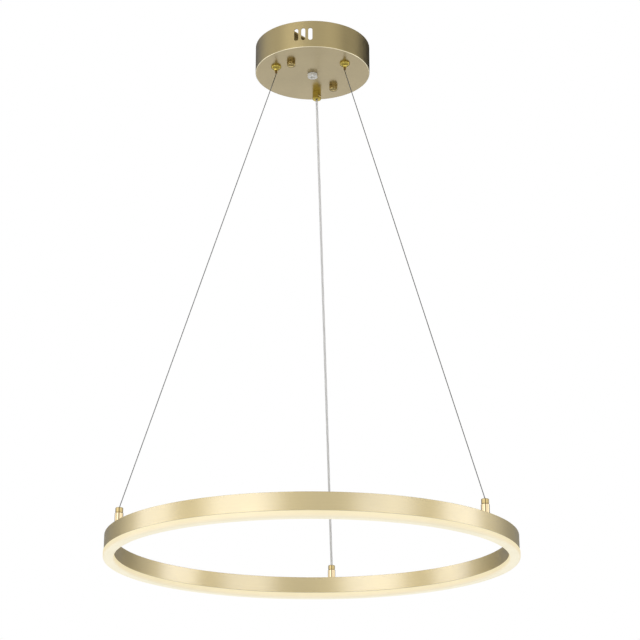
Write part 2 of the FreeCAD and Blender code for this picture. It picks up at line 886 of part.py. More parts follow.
def make_steel_wire(side, angle):
    wire = size["wire_diameter"].value
    grip = on_circle(grip_radius, angle)
    post = on_circle(ring_middle, angle)
    mouth = upright_point(*grip, nozzle_mouth)
    corner = upright_point(*grip, nozzle_mouth - size["wire_corner"])
    foot = upright_point(*post, cap_top + size["wire_end_gap"])
    top = upright_point(*grip, gripper_top + size["tail_height"])
    shape_part(f"wire_tail_{side}", straight_run(top, mouth, wire, 12))
    run = hanging_run(
        f"steel_wire_{side}", [mouth, corner, foot], [size["wire_bend"].value], wire, 12
    )
    shape_part(f"steel_wire_{side}", run)

    crimp = padded(f"wire_crimp_{side}", hexagon(size["crimp_flats"]), size["crimp_length"])
    place(crimp, *grip, gripper_top + size["tail_height"])
    finish(crimp, f"wire_crimp_{side}")

    shoulder = cap_top - size["cap_shoulder"]
    stop = padded(f"wire_stop_{side}", hexagon(size["crimp_flats"]), size["crimp_length"])
    stub = new_sketch(stop, f"StopWire{side}", "XY_Plane")
    draw_outline(stub, hexagon(size["wire_diameter"]))
    end = stop.newObject("PartDesign::Pad", f"StopStub{side}")
    end.Profile = (stub, [""])
    bind(end, "Length", size["crimp_length"] + size["cap_shoulder"])
    stop.Tip = end
    document.recompute()
    place(stop, *post, shoulder - size["crimp_length"])
    finish(stop, f"wire_stop_{side}")


def make_power_cable():
    cable = size["cable_diameter"].value
    bend = size["cable_bend"].value
    angle = size["rear_angle"]
    grip, post = on_circle(grip_radius, angle), on_circle(ring_middle, angle)
    mouth = upright_point(*grip, barrel_tip)
    high = upright_point(*grip, barrel_tip - size["cable_corner"])
    low = upright_point(*post, cap_top + size["cable_corner"])
    foot = upright_point(*post, cap_top)
    shape_part(
        "power_cable", hanging_run("power_cable", [mouth, high, low, foot], [bend, bend], cable, 16)
    )
    inside = upright_point(*grip, plate_top + size["connector_floor"])
    shape_part("power_cable_grip_end", straight_run(inside, mouth, cable, 16))
    below = upright_point(*post, ring_top - size["ring_wall"] - size["cable_below"])
    shape_part("power_cable_ring_end", straight_run(foot, below, cable, 16))


# Driver, terminal block, connector and the leads inside the canopy


def make_driver():
    length, width = driver_length / 2, size["driver_width"] / 2
    across, depth = on_circle(size["driver_offset"], size["driver_angle"])
    turn = size["driver_angle"] - 90
    floor = plate_top + size["pad_thickness"]
    inset = size["pad_inset"]
    split, seam = size["driver_split"], size["driver_seam"]
    pad = padded("driver_pad", rectangle(length - inset, width - inset), size["pad_thickness"])
    place(pad, across, depth, plate_top, turn)
    finish(pad, "driver_pad")
    tray = padded("driver_tray", rectangle(length, width), split)
    place(tray, across, depth, floor, turn)
    finish(tray, "driver_tray")
    lid = padded("driver_lid", rectangle(length, width), size["driver_height"] - split - seam)
    place(lid, across, depth, floor + split + seam, turn)
    finish(lid, "driver_lid")


def rectangle(reach, width):
    return [(reach, -width), (reach, width), (-reach, width), (-reach, -width)]


def make_terminal_block():
    """Three clamps side by side, each with a way in for the lead and a screw on top."""
    length, width = size["block_length"] / 2, size["block_width"] / 2
    height, entry = size["block_height"], size["block_entry"] / 2
    across, depth = on_circle(size["block_offset"], size["block_angle"])
    turn = size["block_angle"] + 90
    block = padded("terminal_block", rectangle(length, width), height)
    ways = new_sketch(block, "LeadWays")
    middle = size["block_entry_height"]
    wells = new_sketch(block, "ScrewWells", "XY_Plane")
    well = size["block_screw"] / 2 + size["hole_fit"]
    for pole in (-1, 0, 1):
        centre = size["block_pole_pitch"] * pole
        draw_outline(
            ways,
            [
                (centre + entry, middle - entry),
                (centre + entry, middle + entry),
                (centre - entry, middle + entry),
                (centre - entry, middle - entry),
            ],
        )
        draw_outline(
            wells,
            [
                (centre + well, -well),
                (centre + well, well),
                (centre - well, well),
                (centre - well, -well),
            ],
        )
    way = cut_through(block, "LeadWay", ways, width * 2 + 2)
    way.Midplane = True
    bind(wells, "AttachmentOffset.Base.z", height)
    document.recompute()
    cut_through(block, "ScrewWell", wells, size["block_screw_length"] + size["seat_gap"])
    place(block, across, depth, plate_top, turn)
    finish(block, "terminal_block")
    screws = []
    for pole in (-1, 0, 1):
        screw = document.addObject("Part::Cylinder", "ClampScrew")
        bind(screw, "Radius", size["block_screw"] / 2)
        bind(screw, "Height", size["block_screw_length"])
        aside, along = on_circle(size["block_pole_pitch"] * pole, turn)
        foot = plate_top + height - size["block_screw_length"]
        place(screw, across + aside, depth + along, foot)
        screws.append(screw)
    finish(group("TerminalScrews", screws), "terminal_screws")


def make_connector():
    """The splice above the cord grip, where the power cable's cores meet the driver's lead."""
    across, depth = on_circle(grip_radius, size["rear_angle"])
    box = padded(
        "lead_connector",
        rectangle(size["connector_length"] / 2, size["connector_width"] / 2),
        size["connector_height"],
    )
    outward = depth + size["connector_shift"]
    place(box, across, outward, plate_top + size["connector_floor"])
    finish(box, "lead_connector")


# Ways out of the driver: which end, how far beside its middle, at what height and how far straight
LEAD_STARTS = {
    "input_lead_live": (-1, -7.0, -17.0, 9.2),
    "input_lead_neutral": (-1, -3.0, -19.0, 10.2),
    "output_lead": (1, 1.0, -17.0, 8.4),
}

# Corners of the leads' routes inside the canopy: across, depth and height
LEAD_ROUTES = {
    "input_lead_live": [
        (-46.5, -34.5, -13.0),
        (-29.0, -43.5, -15.0),
        (-5.0, -37.5, -25.0),
        (9.5, -35.3, -31.8),
        (15.1, -45.0, -31.8),
    ],
    "input_lead_neutral": [
        (-50.0, -37.5, -15.0),
        (-28.0, -48.0, -12.0),
        (-1.0, -35.0, -19.0),
        (16.3, -28.2, -31.8),
        (23.3, -40.3, -31.8),
    ],
    "earth_lead": [
        (31.4, -35.6, -31.8),
        (25.4, -25.2, -31.8),
        (20.0, -17.5, -23.0),
        (15.5, -10.1, -12.0),
    ],
    "output_lead": [(-6.05, 59.5, -16.0)],
}


def driver_way(end, beside, up, straight):
    """A lead's first two corners: where it leaves an end of the driver, and where it first turns."""
    across, depth = on_circle(size["driver_offset"], size["driver_angle"])
    turn = size["driver_angle"] - 90
    along = Vector(cosine(turn).value, sine(turn).value, 0)
    aside = Vector(-along.y, along.x, 0)
    reach = driver_length.value / 2 + size["lead_gap"].value
    start = Vector(across.value, depth.value, up) + aside * beside + along * (end * reach)
    return [start, start + along * (end * straight)]


def make_leads():
    for name, route in LEAD_ROUTES.items():
        start = driver_way(*LEAD_STARTS[name]) if name in LEAD_STARTS else []
        points = start + [Vector(*corner) for corner in route]
        shape_part(name, cord(name, points, size["lead_diameter"].value, 6))


# Ring: channel, lens, LED strip and chips


def make_ring():
    wall, height = size["ring_wall"], size["ring_height"]
    lip, lip_height = size["mouth_lip"], size["mouth_lip_height"]
    channel = turned(
        "ring_channel",
        [
            (ring_radius, 0),
            (ring_radius, -height),
            (ring_radius - wall - lip, -height),
            (ring_radius - wall, -height + lip_height),
            (ring_radius - wall, -wall),
            (ring_inner + wall, -wall),
            (ring_inner + wall, -height + lip_height),
            (ring_inner + wall + lip, -height),
            (ring_inner, -height),
            (ring_inner, 0),
        ],
    )
    posts = new_sketch(channel, "PostHoleOutline", "XY_Plane")
    aim_flat(posts, size["rear_angle"])
    add_circle(posts, ring_middle, 0, size["stud_diameter"] + size["hole_fit"] * 2)
    hole = cut_through(channel, "PostHole", posts, wall + 1)
    pattern(channel, "PostHoles", hole, 3, 360.0)
    place(channel, up=ring_top)
    finish(channel, "ring_channel")

    reach, drop = size["lens_overhang"], size["lens_drop"]
    corner, gap = size["lens_corner"], size["lens_fit"]
    tongue_top = -height + lip_height - size["lens_tongue_gap"]
    slope = lip / lip_height
    narrow = wall + lip + gap
    wide = narrow - slope * (lip_height - size["lens_tongue_gap"])
    lens = turned(
        "lens",
        [
            (ring_radius + reach, -height),
            (ring_radius + reach, -height - drop + corner),
            (ring_radius + reach - corner, -height - drop),
            (ring_inner - reach + corner, -height - drop),
            (ring_inner - reach, -height - drop + corner),
            (ring_inner - reach, -height),
            (ring_inner + narrow, -height),
            (ring_inner + wide, tongue_top),
            (ring_radius - wide, tongue_top),
            (ring_radius - narrow, -height),
        ],
    )
    place(lens, up=ring_top)
    finish(lens, "lens")
    make_strip()


def make_strip():
    """A flexible strip inside the outer wall, flat behind each chip, and the chips on it."""
    count = int(size["chip_count"].value)
    outer = ring_radius - size["ring_wall"] - size["seat_gap"]
    inner = outer - size["strip_thickness"]
    half_turn = math.pi / count
    strip_foot = ring_top - size["strip_depth"] - size["strip_width"]
    bands = []
    for radius in (outer.value, inner.value):
        corners = []
        for step in range(count + 1):
            angle = 2 * half_turn * (step % count)
            corners.append(
                Vector(radius * math.cos(angle), radius * math.sin(angle), strip_foot.value)
            )
        floor = Part.Face(Part.makePolygon(corners))
        bands.append(floor.extrude(Vector(0, 0, size["strip_width"].value)))
    shape_part("led_strip", bands[0].cut(bands[1]))

    flat = inner * math.cos(half_turn) - size["chip_gap"] - size["chip_depth"]
    chip_foot = strip_foot + (size["strip_width"] - size["chip_height"]) / 2
    chip_box = Part.makeBox(
        size["chip_depth"].value,
        size["chip_width"].value,
        size["chip_height"].value,
        Vector(flat.value, -size["chip_width"].value / 2, chip_foot.value),
    )
    chips = []
    for index in range(count):
        chip = chip_box.copy()
        chip.rotate(Vector(0, 0, 0), Vector(0, 0, 1), (index + 0.5) * 360 / count)
        chips.append(chip)
    shape_part("led_chips", Part.makeCompound(chips))


# Posts on the ring: each has a body and a cap, and two are held by a screw from inside the channel


def make_posts():
    radius, cap = size["post_diameter"] / 2, size["post_cap_diameter"] / 2
    height, cap_height = size["post_height"], size["post_cap_height"]
    thread = stud_radius + size["thread_fit"]
    throat, bore = size["cap_throat"] / 2, size["cap_bore"] / 2
    shoulder = cap_height - size["cap_shoulder"]
    bodies, caps = [], []
    for side, angle in ALL_SIDES.items():
        across, depth = on_circle(ring_middle, angle)
        if side == "rear":
            body_corners = [
                (cable_hole, 0),
                (radius, 0),
                (radius, height),
                (cable_hole, height),
            ]
            cap_corners = [
                (cable_hole, 0),
                (cap, 0),
                (cap, cap_height),
                (cable_hole, cap_height),
            ]
        else:
            body_corners = [
                (thread, 0),
                (radius, 0),
                (radius, height),
                (0, height),
                (0, size["post_thread_depth"]),
                (thread, size["post_thread_depth"]),
            ]
            cap_corners = [
                (bore, 0),
                (cap, 0),
                (cap, cap_height),
                (throat, cap_height),
                (throat, shoulder),
                (bore, shoulder),
            ]
        body = turned(f"PostBody{side}", body_corners)
        place(body, across, depth, ring_top)
        bodies.append(body)
        top = turned(f"PostCap{side}", cap_corners)
        place(top, across, depth, ring_top + height)
        caps.append(top)
    finish(group("PostBodies", bodies), "post_bodies")
    finish(group("PostCaps", caps), "post_caps")
    screws = []
    for side, angle in WIRE_SIDES.items():
        across, depth = on_circle(ring_middle, angle)
        head_height = size["post_screw_head_height"]
        screw = padded(f"PostScrew{side}", hexagon(size["post_screw_flats"]), head_height)
        shank = new_sketch(screw, f"PostScrewShank{side}", "XY_Plane")
        add_circle(shank, 0, 0, size["stud_diameter"])
        shaft = screw.newObject("PartDesign::Pad", f"PostScrewShaft{side}")
        shaft.Profile = (shank, [""])
        reach = head_height + size["ring_wall"] + size["post_thread_depth"] - size["stud_end_gap"]
        bind(shaft, "Length", reach)
        screw.Tip = shaft
        document.recompute()
        place(screw, across, depth, ring_top - size["ring_wall"] - head_height, angle)
        screws.append(screw)
    finish(group("PostScrews", screws), "post_screws")


make_canopy()
make_crossbar()
make_studs()
make_cap_nuts()
make_earth_screw()
gripper_bodies = [make_gripper(side, angle) for side, angle in WIRE_SIDES.items()]
finish(group("GripperBodies", gripper_bodies), "gripper_bodies")
for side, angle in WIRE_SIDES.items():
    make_steel_wire(side, angle)
make_stem_nuts()
make_cord_grip()
make_power_cable()
make_centre_plug()
make_driver()
make_terminal_block()
make_connector()
make_leads()
make_ring()
make_posts()
document.recompute()

for item in document.Objects:
    if "Invalid" in item.State or "Error" in item.State:
        raise RuntimeError(f"{item.Name} did not rebuild: {item.State}")
for item in parts:
    shape = item.Shape
    if shape.isNull() or not shape.isValid() or shape.Volume <= 0:
        raise RuntimeError(f"{item.Label} has no valid solid")
os.makedirs("parts", exist_ok=True)
for item in parts:
    item.Shape.exportStep(f"parts/{item.Label}.step")
print(f"{len(parts)} sub-parts written")
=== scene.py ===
import math

import bpy
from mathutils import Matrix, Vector


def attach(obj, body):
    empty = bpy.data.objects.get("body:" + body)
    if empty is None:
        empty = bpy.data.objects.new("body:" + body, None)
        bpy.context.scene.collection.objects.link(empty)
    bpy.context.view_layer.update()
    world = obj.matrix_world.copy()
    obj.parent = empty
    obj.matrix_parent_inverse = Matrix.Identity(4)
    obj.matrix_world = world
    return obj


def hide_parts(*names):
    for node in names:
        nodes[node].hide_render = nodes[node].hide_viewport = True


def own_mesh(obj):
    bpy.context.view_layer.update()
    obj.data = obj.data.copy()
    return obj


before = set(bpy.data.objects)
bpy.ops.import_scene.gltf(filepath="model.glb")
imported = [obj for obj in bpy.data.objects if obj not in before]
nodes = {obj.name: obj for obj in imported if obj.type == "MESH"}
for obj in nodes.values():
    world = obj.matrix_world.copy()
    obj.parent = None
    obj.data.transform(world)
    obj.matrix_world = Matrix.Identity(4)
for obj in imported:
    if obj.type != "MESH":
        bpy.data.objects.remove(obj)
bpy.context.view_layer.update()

mm = 0.001

# Heights and places that several pieces share, in mm, with the ceiling at zero
plateUnder = -38.0
plateTop = -37.0
ringTop = -668.0
ringMiddle = 244.25
gripCircle = 52.5
sideAngles = {"Left": 210, "Right": 330, "Rear": 90}


def onCircle(radius, angle):
    turn = math.radians(angle)
    return radius * math.cos(turn), radius * math.sin(turn)


gripSpots = {side: onCircle(gripCircle, angle) for side, angle in sideAngles.items()}
postSpots = {side: onCircle(ringMiddle, angle) for side, angle in sideAngles.items()}


def socketOf(tree, value, socket):
    if isinstance(value, bpy.types.NodeSocket):
        tree.links.new(value, socket)
    else:
        socket.default_value = value


def feed(tree, node, **inputs):
    # Links and plain values for a node's sockets, with _ for a space in their names
    for key, value in inputs.items():
        socketOf(tree, value, node.inputs[key.replace("_", " ")])


def addNode(tree, kind, settings=None, **inputs):
    node = tree.nodes.new("ShaderNode" + kind)
    for key, value in (settings or {}).items():
        setattr(node, key, value)
    feed(tree, node, **inputs)
    return node


def calc(tree, operation, first, second=0.0, third=0.0):
    node = addNode(tree, "Math", {"operation": operation})
    for number, value in enumerate((first, second, third)):
        socketOf(tree, value, node.inputs[number])
    return node.outputs[0]


def easeBetween(tree, value, start, end):
    # Nought at start, one at end, eased between
    smooth = {"interpolation_type": "SMOOTHSTEP"}
    node = addNode(tree, "MapRange", smooth, Value=value, From_Min=start, From_Max=end)
    return node.outputs["Result"]


def objectSpot(tree):
    return addNode(tree, "TexCoord").outputs["Object"]


def spanOf(tree, vector):
    return addNode(tree, "VectorMath", {"operation": "LENGTH"}, Vector=vector).outputs["Value"]


def newGroup(name, result, **inputs):
    # Floats or vectors go in, as their first values are, and one float comes out
    group = bpy.data.node_groups.new(name, "ShaderNodeTree")
    for label, value in inputs.items():
        kind = "NodeSocketVector" if isinstance(value, tuple) else "NodeSocketFloat"
        socket = group.interface.new_socket(name=label, in_out="INPUT", socket_type=kind)
        socket.default_value = value
    group.interface.new_socket(name=result, in_out="OUTPUT", socket_type="NodeSocketFloat")
    return group, group.nodes.new("NodeGroupInput"), group.nodes.new("NodeGroupOutput")


def makeTurnedGrain():
    # Fine lines that run round an upright axis, as a lathe or a polishing mop leaves them
    group, given, result = newGroup(
        "turnedGrain", "Grain", Centre=(0, 0, 0), Fineness=4000.0, Slowness=20.0
    )
    shifted = addNode(group, "VectorMath", {"operation": "SUBTRACT"}, Vector=objectSpot(group))
    group.links.new(given.outputs["Centre"], shifted.inputs[1])
    across, depth, height = addNode(group, "SeparateXYZ", Vector=shifted.outputs[0]).outputs
    flat = addNode(group, "CombineXYZ", X=across, Y=depth)
    slow, fine = given.outputs["Slowness"], given.outputs["Fineness"]
    place = addNode(
        group,
        "CombineXYZ",
        X=calc(group, "MULTIPLY", across, slow),
        Y=calc(group, "MULTIPLY", depth, slow),
        Z=calc(group, "MULTIPLY", height, fine),
    )
    noise = addNode(
        group,
        "TexNoise",
        {"noise_dimensions": "4D"},
        Vector=place.outputs[0],
        W=calc(group, "MULTIPLY", spanOf(group, flat.outputs[0]), fine),
        Scale=1.0,
        Detail=3.0,
    )
    group.links.new(noise.outputs["Fac"], result.inputs["Grain"])
    return group


def makeSmudges():
    # Soft patches where hands and cloths have been
    group, given, result = newGroup("smudges", "Value", Size=0.02, Least=0.2, Most=0.3)
    noise = addNode(
        group,
        "TexNoise",
        Vector=objectSpot(group),
        Scale=calc(group, "DIVIDE", 1.0, given.outputs["Size"]),
        Detail=2.5,
        Roughness=0.55,
    )
    spread = addNode(
        group,
        "MapRange",
        Value=noise.outputs["Fac"],
        From_Min=0.3,
        From_Max=0.7,
        To_Min=given.outputs["Least"],
        To_Max=given.outputs["Most"],
    )
    group.links.new(spread.outputs["Result"], result.inputs["Value"])
    return group


def makeMouldedSkin():
    # The faint orange peel of a moulded or coated surface
    group, given, result = newGroup("mouldedSkin", "Height", Size=0.0006)
    scale = calc(group, "DIVIDE", 1.0, given.outputs["Size"])
    noise = addNode(group, "TexNoise", Vector=objectSpot(group), Scale=scale, Detail=2.0)
    group.links.new(noise.outputs["Fac"], result.inputs["Height"])
    return group


def makeStrandTwist():
    # Strands laid in a helix, on a map with one turn across and metres along
    group, given, result = newGroup("strandTwist", "Height", Strands=6.0, Lay=0.01)
    spot = addNode(group, "UVMap", {"uv_map": "Wrap"}).outputs["UV"]
    across, length, _ = addNode(group, "SeparateXYZ", Vector=spot).outputs
    around = calc(group, "MULTIPLY", across, given.outputs["Strands"])
    along = calc(group, "DIVIDE", length, given.outputs["Lay"])
    phase = calc(group, "FRACT", calc(group, "ADD", around, along))
    offset = calc(group, "MULTIPLY", calc(group, "SUBTRACT", phase, 0.5), 2.0)
    squared = calc(group, "MULTIPLY", offset, offset)
    bulge = calc(group, "SQRT", calc(group, "SUBTRACT", 1.02, squared))
    group.links.new(bulge, result.inputs["Height"])
    return group


turnedGrain = makeTurnedGrain()
smudges = makeSmudges()
mouldedSkin = makeMouldedSkin()
strandTwist = makeStrandTwist()
print("node groups ready")


def srgb(red, green, blue):
    # Screen colour from 0 to 255, as the linear values that nodes work with
    def straighten(level):
        level /= 255
        return level / 12.92 if level <= 0.04045 else ((level + 0.055) / 1.055) ** 2.4

    return straighten(red), straighten(green), straighten(blue), 1.0


def newMaterial(name):
    material = bpy.data.materials.new(name)
    material.use_nodes = True
    tree = material.node_tree
    return material, tree, tree.nodes["Principled BSDF"]


def placeGroup(tree, group, **inputs):
    return addNode(tree, "Group", {"node_tree": group}, **inputs).outputs[0]


def smudged(tree, size, levels):
    return placeGroup(tree, smudges, Size=size, Least=levels[0], Most=levels[1])


def tintBy(tree, mask, dark, light):
    mix = addNode(tree, "Mix", {"data_type": "RGBA"})
    for number, value in ((0, mask), (6, dark), (7, light)):
        socketOf(tree, value, mix.inputs[number])
    return mix.outputs[2]


def bumpBy(tree, height, strength, distance=0.0001):
    return addNode(tree, "Bump", Strength=strength, Distance=distance, Height=height).outputs[0]


def turnedMetal(name, look, centre=(0, 0, 0)):
    # Metal with lines round an upright axis at centre, in mm
    material, tree, shader = newMaterial(name)
    place, fine, slow = Vector(centre) * mm, look["fineness"], look["slowness"]
    grain = placeGroup(tree, turnedGrain, Centre=place, Fineness=fine, Slowness=slow)
    feed(
        tree,
        shader,
        Base_Color=tintBy(tree, grain, look["dark"], look["light"]),
        Roughness=smudged(tree, look["patch"], look["rough"]),
        Normal=bumpBy(tree, grain, look["bump"], look["depth"]),
        Metallic=1.0,
        Coat_Weight=look["coat"],
        Coat_Roughness=look["coatRough"],
        Coat_IOR=look["coatIor"],
    )
    return material


def mouldedMaterial(name, look):
    material, tree, shader = newMaterial(name)
    skin = placeGroup(tree, mouldedSkin, Size=look["skin"])
    tone = smudged(tree, look["patch"], (0.0, 1.0))
    feed(
        tree,
        shader,
        Base_Color=tintBy(tree, tone, look["dark"], look["light"]),
        Roughness=smudged(tree, look["patch"] * 0.6, look["rough"]),
        Normal=bumpBy(tree, skin, look["bump"]),
        Metallic=look["metal"],
        Coat_Weight=look["coat"],
    )
    return material


def strandedMaterial(name, look):
    # For cords, whose map goes once round them and in metres along them; their colour is darker in
    # the grooves between strands, a painted shade
    material, tree, shader = newMaterial(name)
    strand = placeGroup(tree, strandTwist, Strands=look["strands"], Lay=look["lay"])
    feed(
        tree,
        shader,
        # Painted shade: dark in the grooves between strands, light on their crests
        Base_Color=tintBy(tree, strand, look["dark"], look["light"]),
        Roughness=smudged(tree, look["patch"], look["rough"]),
        Metallic=look["metal"],
        Coat_Weight=look["coat"],
        Coat_Roughness=look["coatRough"],
    )
    if look["bump"]:
        feed(tree, shader, Normal=bumpBy(tree, strand, look["bump"]))
    return material


def paintEdgeHighlight(material, edge):
    # Painted highlight: the rounded lower edge is painted paler than the rest, and made a little
    # smoother
    tree = material.node_tree
    shader = tree.nodes["Principled BSDF"]
    across, depth, height = addNode(tree, "SeparateXYZ", Vector=objectSpot(tree)).outputs
    radius = calc(tree, "MULTIPLY_ADD", across, across, calc(tree, "MULTIPLY", depth, depth))
    reach = calc(tree, "SUBTRACT", calc(tree, "SQRT", radius), height)
    mask = easeBetween(tree, reach, *(place * mm for place in edge["reach"]))
    plain = [shader.inputs[key].links[0].from_socket for key in ("Base Color", "Roughness")]
    rough = addNode(tree, "Mix", Factor=mask, A=plain[1], B=edge["rough"]).outputs[0]
    feed(tree, shader, Base_Color=tintBy(tree, mask, plain[0], edge["shade"]), Roughness=rough)
    return material


satinGold = {
    "dark": srgb(168, 149, 98),
    "light": srgb(180, 161, 108),
    "rough": (0.30, 0.36),
    "fineness": 3000.0,
    "slowness": 30.0,
    "patch": 0.05,
    "bump": 0.08,
    "depth": 0.00005,
    "coat": 1.0,
    "coatRough": 0.2,
    "coatIor": 1.6,
}
ringGold = dict(
    satinGold,
    dark=srgb(194, 174, 114),
    light=srgb(206, 186, 128),
    rough=(0.46, 0.54),
    bump=0.02,
    coatIor=2.3,
)
polishedBrass = dict(
    satinGold,
    dark=srgb(178, 158, 74),
    light=srgb(194, 174, 90),
    rough=(0.05, 0.10),
    fineness=9000.0,
    patch=0.008,
    bump=0.03,
    coat=0.0,
)
postBrass = dict(
    polishedBrass, dark=srgb(188, 170, 136), light=srgb(202, 184, 150), rough=(0.10, 0.16)
)
postCapBrass = dict(postBrass, dark=srgb(156, 138, 96), light=srgb(172, 154, 110))
# Painted highlight along the canopy's hem: a pale colour on the rounded lower edge
edgeHighlightPaint = {"reach": (113.14, 113.3), "shade": srgb(250, 238, 200), "rough": 0.3}


def mouldedLook(base, dark, light, **changes):
    return dict(base, dark=srgb(*dark), light=srgb(*light), **changes)


zincPlate = {
    "dark": srgb(168, 167, 160),
    "light": srgb(196, 194, 184),
    "skin": 0.0008,
    "patch": 0.006,
    "rough": (0.25, 0.42),
    "bump": 0.1,
    "metal": 1.0,
    "coat": 0.0,
}
passivatedZinc = mouldedLook(zincPlate, (176, 152, 92), (204, 180, 118))
crimpAlloy = mouldedLook(zincPlate, (160,) * 3, (190,) * 3, rough=(0.3, 0.4))
springSteel = mouldedLook(zincPlate, (120,) * 3, (160,) * 3, rough=(0.2, 0.3))
capNutBrass = mouldedLook(
    zincPlate, (104, 84, 44), (214, 194, 134), patch=0.0022, rough=(0.04, 0.10), bump=0.02
)
nozzleBrass = mouldedLook(
    zincPlate, (132, 106, 62), (158, 132, 84), rough=(0.14, 0.22), bump=0.03
)
whiteNylon = {
    "dark": srgb(224, 222, 214),
    "light": srgb(238, 237, 231),
    "skin": 0.0005,
    "patch": 0.006,
    "rough": (0.4, 0.5),
    "bump": 0.12,
    "metal": 0.0,
    "coat": 0.0,
}
driverPlastic = mouldedLook(whiteNylon, (222, 222, 218), (236, 236, 233), bump=0.3)
greyFoam = mouldedLook(whiteNylon, (60,) * 3, (88,) * 3, rough=(0.8, 0.95), bump=1.0)
stripCoat = mouldedLook(whiteNylon, (228, 227, 220), (240, 240, 236), rough=(0.35, 0.45))
chipResin = mouldedLook(whiteNylon, (236, 200, 96), (246, 218, 120), rough=(0.2, 0.3))
strandedSteel = {
    "strands": 6.0,
    "lay": 0.012,
    "dark": srgb(62, 62, 62),
    "light": srgb(138, 138, 137),
    "patch": 0.01,
    "rough": (0.25, 0.4),
    "bump": 0.4,
    "metal": 1.0,
    "coat": 0.0,
    "coatRough": 0.03,
}
clearJacket = {
    "strands": 3.0,
    "lay": 0.03,
    "dark": srgb(172, 171, 170),
    "light": srgb(206, 205, 203),
    "patch": 0.02,
    "rough": (0.3, 0.4),
    "bump": 0.0,
    "metal": 0.25,
    "coat": 0.8,
    "coatRough": 0.12,
}
litOpal = {
    "foot": -28.0,  # below the top of the ring, in mm
    "top": -20.5,
    "glow": [
        (0.0, srgb(251, 241, 209)),
        (0.35, srgb(249, 228, 182)),
        (0.9, srgb(252, 234, 176)),
        # Painted shade: the last stop darkens the cover's top edge, in the joint under the channel
        (1.0, srgb(120, 108, 60)),
    ],
    "strength": 0.66,
    "dark": srgb(150, 148, 138),
    "light": srgb(158, 156, 146),
    "patch": 0.03,
    "rough": (0.35, 0.45),
    "roughPatch": 0.04,
    "skin": 0.0008,
    "bump": 0.05,
}


def leadJacket(name, red, green, blue):
    shade = srgb(red, green, blue)
    light = tuple(min(1.0, level * 1.25) for level in shade[:3]) + (1.0,)
    look = dict(whiteNylon, dark=shade, light=light, rough=(0.32, 0.42), bump=0.05, coat=0.2)
    return mouldedMaterial(name, look)


def litCover(name, look):
    # Opal cover lit from inside: whitest below the chips and warmer higher up, with a painted
    # shade, a dark line, right where it meets the channel
    material, tree, shader = newMaterial(name)
    height = addNode(tree, "SeparateXYZ", Vector=objectSpot(tree)).outputs["Z"]
    low, high = (ringTop + look["foot"]) * mm, (ringTop + look["top"]) * mm
    place = addNode(tree, "MapRange", Value=height, From_Min=low, From_Max=high)
    ramp = addNode(tree, "ValToRGB", Fac=place.outputs["Result"])
    stops = ramp.color_ramp.elements
    stops[0].position, stops[0].color = look["glow"][0]
    stops[1].position, stops[1].color = look["glow"][-1]
    for where, shade in look["glow"][1:-1]:
        stops.new(where).color = shade
    tone = smudged(tree, look["patch"], (0.0, 1.0))
    skin = placeGroup(tree, mouldedSkin, Size=look["skin"])
    feed(
        tree,
        shader,
        Emission_Color=ramp.outputs["Color"],
        Emission_Strength=look["strength"],
        Base_Color=tintBy(tree, tone, look["dark"], look["light"]),
        Normal=bumpBy(tree, skin, look["bump"]),
        Roughness=smudged(tree, look["roughPatch"], look["rough"]),
    )
    return material


materials = {
    "canopyGold": paintEdgeHighlight(turnedMetal("canopyGold", satinGold), edgeHighlightPaint),
    "ringGold": turnedMetal("ringGold", ringGold),
    "zinc": mouldedMaterial("zincPlate", zincPlate),
    "bar": mouldedMaterial("passivatedZinc", passivatedZinc),
    "crimp": mouldedMaterial("crimpAlloy", crimpAlloy),
    "spring": mouldedMaterial("springSteel", springSteel),
    "capNut": mouldedMaterial("capNutBrass", capNutBrass),
    "nozzleBrass": mouldedMaterial("nozzleBrass", nozzleBrass),
    "nylon": mouldedMaterial("whiteNylon", whiteNylon),
    "driver": mouldedMaterial("driverPlastic", driverPlastic),
    "foam": mouldedMaterial("greyFoam", greyFoam),
    "strip": mouldedMaterial("stripCoat", stripCoat),
    "chip": mouldedMaterial("chipResin", chipResin),
    "brown": leadJacket("brownJacket", 96, 52, 30),
    "blue": leadJacket("blueJacket", 36, 78, 156),
    "green": leadJacket("earthJacket", 112, 150, 40),
    "white": leadJacket("whiteJacket", 205, 205, 200),
    "wire": strandedMaterial("strandedSteel", strandedSteel),
    "cable": strandedMaterial("cableJacket", clearJacket),
    "opal": litCover("litOpal", litOpal),
}
for side in sideAngles:
    postSpot, gripSpot = (*postSpots[side], 0), (*gripSpots[side], 0)
    materials["post" + side] = turnedMetal("postBrass" + side, postBrass, postSpot)
    materials["cap" + side] = turnedMetal("postCapBrass" + side, postCapBrass, postSpot)
    materials["grip" + side] = turnedMetal("gripBrass" + side, polishedBrass, gripSpot)
print("materials ready")

# These CAD pieces stay in sight, and the others are modelled below
shownNodes = {"post_screws": "zinc", "led_strip": "strip", "led_chips": "chip"}
for label, material in shownNodes.items():
    nodes[label].data.materials.clear()
    nodes[label].data.materials.append(materials[material])
print("frame nodes dressed")

# Camera: long lens from in front and below, looking up at the lamp
camera = {"place": (225.4, -2048.8, -1106.4), "aim": (-0.0987, 0.9387, 0.3302), "lens": 96.96}
cameraData = bpy.data.cameras.new("lampCamera")
cameraData.lens = camera["lens"]
cameraData.sensor_width = 36.0
cameraData.clip_end = 50.0
cameraObject = bpy.data.objects.new("lampCamera", cameraData)
bpy.context.scene.collection.objects.link(cameraObject)
cameraObject.location = Vector(camera["place"]) * mm
cameraObject.rotation_euler = Vector(camera["aim"]).to_track_quat("-Z", "Y").to_euler()
bpy.context.scene.camera = cameraObject
bpy.context.scene.view_settings.view_transform = "Standard"
print("camera ready")

